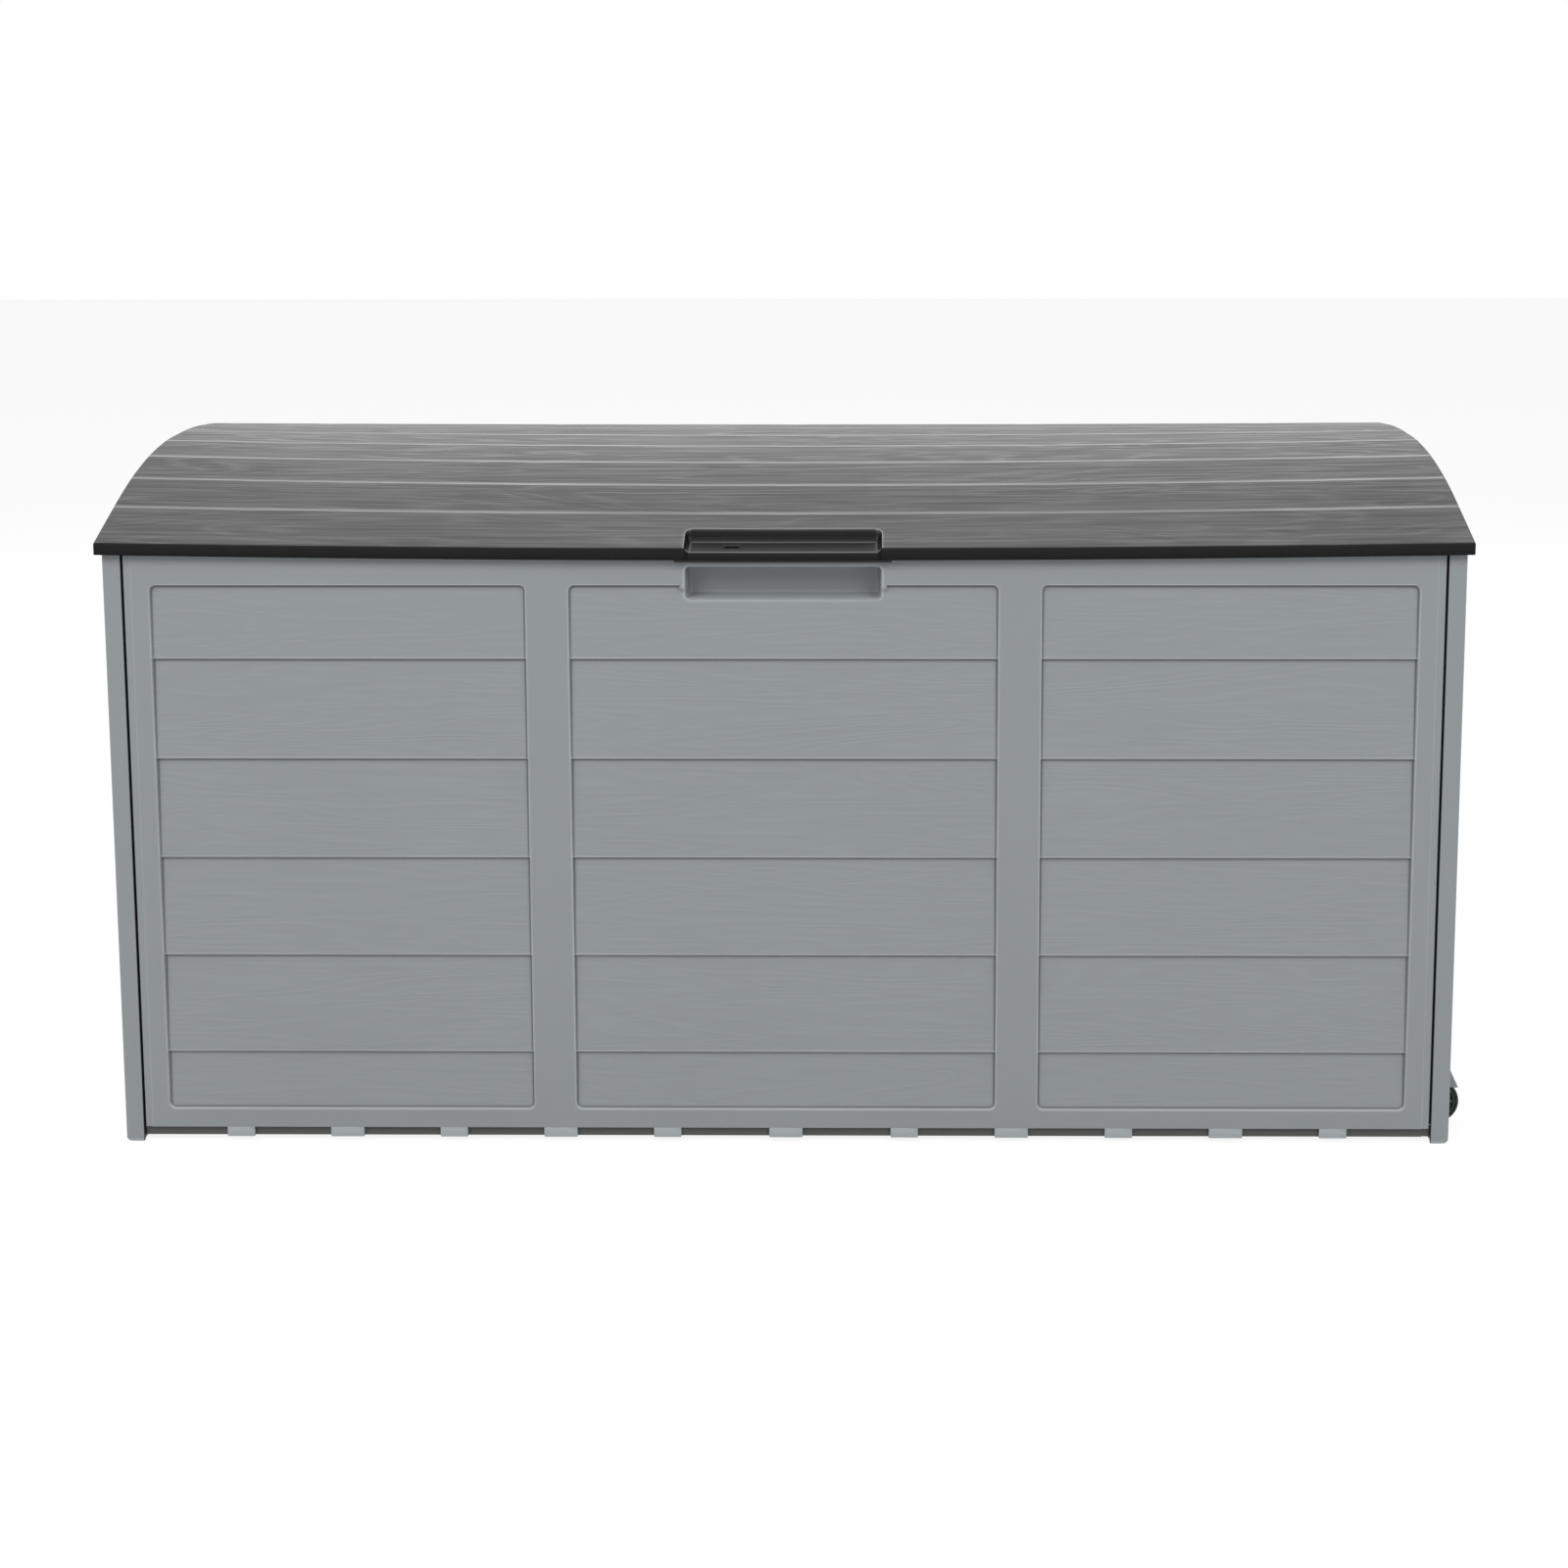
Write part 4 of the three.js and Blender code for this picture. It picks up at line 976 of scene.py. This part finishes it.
def wood(tree, coords, base, tint, rough, height, along, across, pitch, start, contrast,
         streak_gain=1.9, rings_gain=0.55, fibre_dark=3.2, fibre_along=16.0,
         fibre_across=620.0):
    """Wood grain moulded into boards of one pitch, which start at a place in millimetres of
    the frame: wavy rings and fine fibres. Gives the tint, roughness and height."""
    rings_along, rings_across, ring_turns, ring_sharpness = 2.6, 30.0, 92.0, 2.6
    fibre_share, fibre_middle, relief_middle = 0.75, 0.62, 0.6
    split = add(tree, "ShaderNodeSeparateXYZ", {0: coords}).outputs
    u, v = split["XYZ".index(along)], split["XYZ".index(across)]
    boards_up = maths(tree, "DIVIDE", maths(tree, "SUBTRACT", v, start * MM), pitch * MM)
    number = maths(tree, "FLOOR", boards_up)
    long_way = maths(tree, "ADD", maths(tree, "MULTIPLY", u, rings_along),
                     maths(tree, "MULTIPLY", number, 3.71))
    flow = add(tree, "ShaderNodeCombineXYZ", {
        0: long_way, 1: maths(tree, "MULTIPLY", v, rings_across),
        2: maths(tree, "MULTIPLY", number, 1.37)})
    rings = noise(tree, flow.outputs[0], 1.0, 2.0, 0.45, 0.5)
    wave = maths(tree, "SINE", maths(tree, "MULTIPLY", rings, ring_turns))
    line = maths(tree, "POWER", maths(tree, "MULTIPLY_ADD", wave, 0.5, 0.5), ring_sharpness)
    fibre_at = add(tree, "ShaderNodeCombineXYZ", {
        0: maths(tree, "MULTIPLY", u, fibre_along), 1: maths(tree, "MULTIPLY", v, fibre_across),
        2: maths(tree, "MULTIPLY", number, 2.9)})
    fibre = noise(tree, fibre_at.outputs[0], 1.0, 3.0, 0.6)
    relief = maths(tree, "ADD", maths(tree, "MULTIPLY", line, rings_gain),
                   maths(tree, "MULTIPLY", fibre, fibre_share))
    tint = mix_colour(tree, maths(tree, "MULTIPLY", relief, contrast), tint,
                      shade(base, streak_gain))
    duller = maths(tree, "MULTIPLY", maths(tree, "SUBTRACT", relief_middle, relief), contrast)
    low = maths(tree, "SUBTRACT", fibre_middle, fibre)
    dark = maths(tree, "MULTIPLY", maths(tree, "MAXIMUM", low, 0.0), contrast * fibre_dark)
    tint = mix_colour(tree, dark, tint, shade(base, 0.45))
    return tint, maths(tree, "ADD", rough, duller), maths(tree, "ADD", height, relief)


def painted_edges(tree, base, tint, mottle, edge_highlight, edge_light, edge_dark, edge_gain):
    """The tint with painted shade in corners and seams and painted highlights on edges."""
    painted_shade = add(tree, "ShaderNodeAttribute", attribute_name="shaded").outputs["Fac"]
    tint = mix_colour(tree, maths(tree, "MULTIPLY", painted_shade, edge_dark), tint, shade(base, 0.25))
    sharp = add(tree, "ShaderNodeNewGeometry").outputs["Pointiness"]
    ramp = add(tree, "ShaderNodeMapRange", {"Value": sharp, "From Min": 0.52, "From Max": 0.60,
                                            "To Min": 0.0, "To Max": edge_highlight}).outputs[0]
    highlight_lines = add(tree, "ShaderNodeAttribute", attribute_name="painted_highlight").outputs["Fac"]
    broken_highlight = maths(tree, "MULTIPLY", highlight_lines, maths(tree, "MULTIPLY_ADD", mottle, 1.1, 0.3))
    painted_highlight = maths(tree, "MAXIMUM", ramp, maths(tree, "MULTIPLY", broken_highlight, edge_light))
    return mix_colour(tree, painted_highlight, tint, shade(base, edge_gain))


def plastic(name, colour, roughness, grain=None, depth=0.25, edge_highlight=0.25, specular=0.5,
            edge_light=0.45, edge_dark=0.75, edge_gain=2.2):
    """Moulded plastic, mottled and finely speckled. grain holds the settings of its wood
    grain, and depth is the relief's, in millimetres."""
    material = bpy.data.materials.new(name)
    material.use_nodes = True
    tree = material.node_tree
    tree.nodes.clear()
    out = add(tree, "ShaderNodeOutputMaterial")
    shader = add(tree, "ShaderNodeBsdfPrincipled")
    shader.inputs["Specular IOR Level"].default_value = specular
    tree.links.new(shader.outputs[0], out.inputs[0])
    coords = add(tree, "ShaderNodeTexCoord").outputs["Object"]
    base = linear(colour)

    mottle = noise(tree, coords, 7.0, 4.0, 0.55)
    speck = noise(tree, coords, 950.0, 2.0, 0.6)
    tint = mix_colour(tree, maths(tree, "MULTIPLY", mottle, 0.9), shade(base, 0.955),
                      shade(base, 1.045))
    height = maths(tree, "MULTIPLY", speck, 0.12)
    rough = maths(tree, "MULTIPLY_ADD", mottle, 0.16, roughness - 0.08)
    if grain:
        tint, rough, height = wood(tree, coords, base, tint, rough, height, **grain)
    tint = painted_edges(tree, base, tint, mottle, edge_highlight, edge_light, edge_dark, edge_gain)
    bump = add(tree, "ShaderNodeBump", {"Height": height, "Distance": depth * MM,
                                        "Strength": 0.8})
    tree.links.new(tint, shader.inputs["Base Color"])
    tree.links.new(rough, shader.inputs["Roughness"])
    tree.links.new(bump.outputs[0], shader.inputs["Normal"])
    return material


def zinc():
    material = bpy.data.materials.new("zinc_plated_steel")
    material.use_nodes = True
    tree = material.node_tree
    shader = tree.nodes["Principled BSDF"]
    coords = add(tree, "ShaderNodeTexCoord").outputs["Object"]
    spangle = add(tree, "ShaderNodeTexVoronoi", {"Vector": coords, "Scale": 900.0})
    smear = add(tree, "ShaderNodeTexNoise", {"Vector": coords, "Scale": 300.0, "Detail": 3.0})
    tint = mix_colour(tree, spangle.outputs["Distance"], linear((176, 178, 180)),
                      linear((205, 207, 208)))
    rough = maths(tree, "MULTIPLY_ADD", smear.outputs[0], 0.3, 0.22)
    bump = add(tree, "ShaderNodeBump", {"Height": smear.outputs[0], "Distance": 0.05 * MM,
                                        "Strength": 0.5})
    shader.inputs["Metallic"].default_value = 1.0
    tree.links.new(tint, shader.inputs["Base Color"])
    tree.links.new(rough, shader.inputs["Roughness"])
    tree.links.new(bump.outputs[0], shader.inputs["Normal"])
    return material


PANEL_GREY = (140, 145, 148)
# Near-black copy of the grey plastic for the seams, the posts' inner edges and the strip under the
# lid: painted shade.
SEAM_SHADE_GREY = (20, 20, 21)
# Darker copy of the lid plastic for its forward-facing rim: painted shade.
RIM_SHADED_GREY = (30, 30, 30)
# Darker copy of the lid plastic for the sunken lifting ledge: painted shade.
LEDGE_SHADED_GREY = (25, 25, 25)
LID_PLANK_GREY = (41, 41, 41)

grain_long = {"along": "X", "across": "Z", "pitch": CLAPBOARD, "start": FIRST_LINE,
              "contrast": 0.05}
grain_end = {**grain_long, "along": "Y"}
grain_lid = {"along": "X", "across": "Y", "pitch": LID_PLANK,
             "start": SHIFT.y / MM - LID_PLANK / 2, "contrast": 0.46, "streak_gain": 5,
             "rings_gain": 0.25, "fibre_dark": 6.5, "fibre_along": 8.0, "fibre_across": 460.0}

rail_grey = plastic("panel_grey_smooth", PANEL_GREY, 0.5, edge_highlight=0.35)
# Painted shade for the seams and the strip under the lid.
seam_shade = plastic("panel_grey_seam_shade", SEAM_SHADE_GREY, 0.7, edge_highlight=0)
board_x = plastic("panel_grey_boards_long", PANEL_GREY, 0.52, grain_long, depth=0.12, edge_highlight=0.35)
board_y = plastic("panel_grey_boards_end", PANEL_GREY, 0.52, grain_end, depth=0.12, edge_highlight=0.35)
# The high edge gain makes the painted highlights along the lid's grooves bright.
lid_boards = plastic("lid_grey_boards", LID_PLANK_GREY, 0.36, grain_lid, depth=0.6, edge_highlight=0.1,
                     edge_light=1.0, edge_gain=27)
# The rim's copy is darker and less glossy: painted shade.
lid_rim_shaded = plastic("lid_grey_rim_shaded", RIM_SHADED_GREY, 0.5, edge_highlight=0.1, specular=0.1)
# Darker copy for the ledge, with bright painted highlights on its edges and painted shade on its back
# wall.
lid_ledge_shaded = plastic("lid_grey_smooth_shaded", LEDGE_SHADED_GREY, 0.36, edge_highlight=0.1, specular=0.18, edge_light=0.9,
                     edge_gain=22, edge_dark=0.95)
floor_dark = plastic("floor_dark", (70, 70, 68), 0.6, edge_highlight=0.2)
bracket_grey = plastic("bracket_grey", (134, 138, 140), 0.5, edge_highlight=0.3)
tyre_black = plastic("tyre_black", (24, 24, 24), 0.75, edge_highlight=0.15, depth=0.3)
hub_green = plastic("hub_green_black", (50, 68, 60), 0.42, edge_highlight=0.3)
zinc_steel = zinc()


def dress(piece, *materials, slot):
    for material in materials:
        piece.data.materials.append(material)


# ------------------------------------------------------------------ making the pieces
dress(long_panel("front", "front_panel", True), rail_grey, board_x, seam_shade,
      slot="panel_plastic")
dress(long_panel("back", "back_panel", False, HALF_TURN), rail_grey, board_x, seam_shade,
      slot="panel_plastic")
for trim, seam_shade_sheets in (panel_trim("front_trim"), panel_trim("back_trim", HALF_TURN)):
    dress(trim, rail_grey, slot="panel_plastic")
    dress(seam_shade_sheets, seam_shade, slot="panel_plastic")
dress(end_panel("end_right", "end_panel_right", 1, True), rail_grey, board_y, seam_shade,
      slot="panel_plastic")
dress(end_panel("end_left", "end_panel_left", -1, False), rail_grey, board_y, seam_shade,
      slot="panel_plastic")
dress(lid(), lid_boards, lid_rim_shaded, lid_ledge_shaded, slot="lid_plastic")
dress(lid_ribs(), lid_rim_shaded, slot="lid_plastic")
# The apron is dressed near-black: painted shade under the rim.
dress(lid_apron(), seam_shade, slot="lid_plastic")
lid_lugs, panel_lugs = hinge_lugs()
dress(lid_lugs, lid_rim_shaded, slot="lid_plastic")
dress(panel_lugs, rail_grey, slot="panel_plastic")
dress(rounded_copy("floor_panel", 0.6), floor_dark, slot="floor_plastic")
dress(floor_corners(), floor_dark, slot="floor_plastic")

for where, body in (("front", "wheel_front"), ("rear", "wheel_rear")):
    tyre, hub, spokes = wheel(where, body)
    dress(tyre, tyre_black, slot="wheel_tyre")
    dress(hub, hub_green, slot="hub_plastic")
    dress(spokes, hub_green, slot="hub_plastic")
    dress(rounded_copy(f"wheel_bracket_{where}", 0.5), bracket_grey, slot="bracket_plastic")
    for part in (f"wheel_axle_{where}", f"axle_cap_{where}", f"bracket_screw_{where}_1",
                 f"bracket_screw_{where}_2"):
        dress(rounded_copy(part, 0.3), zinc_steel, slot="zinc_steel")
for i in range(1, HINGES + 1):
    dress(rounded_copy(f"hinge_pin_{i}", 0.3), zinc_steel, slot="zinc_steel")


# ------------------------------------------------------------------ camera
def camera():
    """At the photographer's place, found from the box's own edges."""
    place_at = Vector((64.154, -1830.83, 788.11)) * MM + SHIFT
    down, yaw, roll = 0.1114, -0.0076, 0.0014
    ahead = Vector((math.sin(yaw) * math.cos(down), math.cos(yaw) * math.cos(down),
                    -math.sin(down)))
    level = Vector((math.cos(yaw), -math.sin(yaw), 0))
    below = ahead.cross(level)
    right = math.cos(roll) * level + math.sin(roll) * below
    under = -math.sin(roll) * level + math.cos(roll) * below
    made = bpy.data.cameras.new("camera")
    made.sensor_width = 36
    made.lens = 45.576
    made.shift_x = -0.04006
    made.shift_y = -0.2313
    made.clip_start, made.clip_end = 0.05, 60
    holder = bpy.data.objects.new("camera", made)
    holder.matrix_world = Matrix((
        (right.x, -under.x, -ahead.x, place_at.x),
        (right.y, -under.y, -ahead.y, place_at.y),
        (right.z, -under.z, -ahead.z, place_at.z),
        (0, 0, 0, 1)))
    bpy.context.scene.collection.objects.link(holder)
    bpy.context.scene.camera = holder


# ------------------------------------------------------------------ stage and light
def seen_directly(tree):
    """1 for what the camera, a mirror or a pane sees, 0 for what lights the scene."""
    path = add(tree, "ShaderNodeLightPath").outputs
    seen = maths(tree, "MAXIMUM", path["Is Camera Ray"], path["Is Glossy Ray"])
    return maths(tree, "MAXIMUM", seen, path["Is Transmission Ray"])


def stage():
    size, below = 14, -0.0005
    mesh = bpy.data.meshes.new("floor")
    corners = [(x, y, below) for x, y in rectangle((-size, size), (-size, size))]
    mesh.from_pydata(corners, [], [(0, 1, 2, 3)])
    floor = bpy.data.objects.new("studio_floor", mesh)
    bpy.context.scene.collection.objects.link(floor)
    material = bpy.data.materials.new("studio_floor")
    material.use_nodes = True
    tree = material.node_tree
    tree.nodes.clear()
    out = add(tree, "ShaderNodeOutputMaterial")
    matt = add(tree, "ShaderNodeBsdfDiffuse", {"Color": (0.55, 0.55, 0.55, 1)})
    glow = add(tree, "ShaderNodeEmission", {"Color": (1, 1, 1, 1), "Strength": 1.22})
    share = maths(tree, "MULTIPLY", seen_directly(tree), 0.72)
    both = add(tree, "ShaderNodeMixShader", {0: share, 1: matt.outputs[0], 2: glow.outputs[0]})
    tree.links.new(both.outputs[0], out.inputs[0])
    mesh.materials.append(material)


def world(strength):
    made = bpy.data.worlds.new("studio")
    bpy.context.scene.world = made
    made.use_nodes = True
    tree = made.node_tree
    tree.nodes.clear()
    out = add(tree, "ShaderNodeOutputWorld")
    level = add(tree, "ShaderNodeMix", {0: seen_directly(tree), 2: strength, 3: 1.0})
    sky = add(tree, "ShaderNodeBackground", {"Color": (1, 1, 1, 1),
                                             "Strength": level.outputs[0]})
    tree.links.new(sky.outputs[0], out.inputs[0])


def softbox(name, at, towards, size, power):
    made = bpy.data.lights.new(name, "AREA")
    made.shape = "RECTANGLE"
    made.size, made.size_y = size
    made.energy = power
    holder = bpy.data.objects.new(name, made)
    holder.location = at
    holder.rotation_mode = "QUATERNION"
    holder.rotation_quaternion = (Vector(towards) - Vector(at)).to_track_quat("-Z", "Y")
    bpy.context.scene.collection.objects.link(holder)


camera()
stage()
world(0.42)
softbox("overhead", (0, 0.4, 2.8), (0, 0, 0.5), (3.4, 2.2), 29)
softbox("behind", (0, 2.4, 2.0), (0, 0, 0.5), (3.0, 0.8), 11)
softbox("front_left", (-1.9, -2.3, 2.9), (0, 0, 0.3), (1.8, 1.8), 67)
softbox("front_right", (1.9, -2.3, 2.9), (0, 0, 0.3), (1.8, 1.8), 57)

bpy.context.scene.view_settings.view_transform = "Standard"
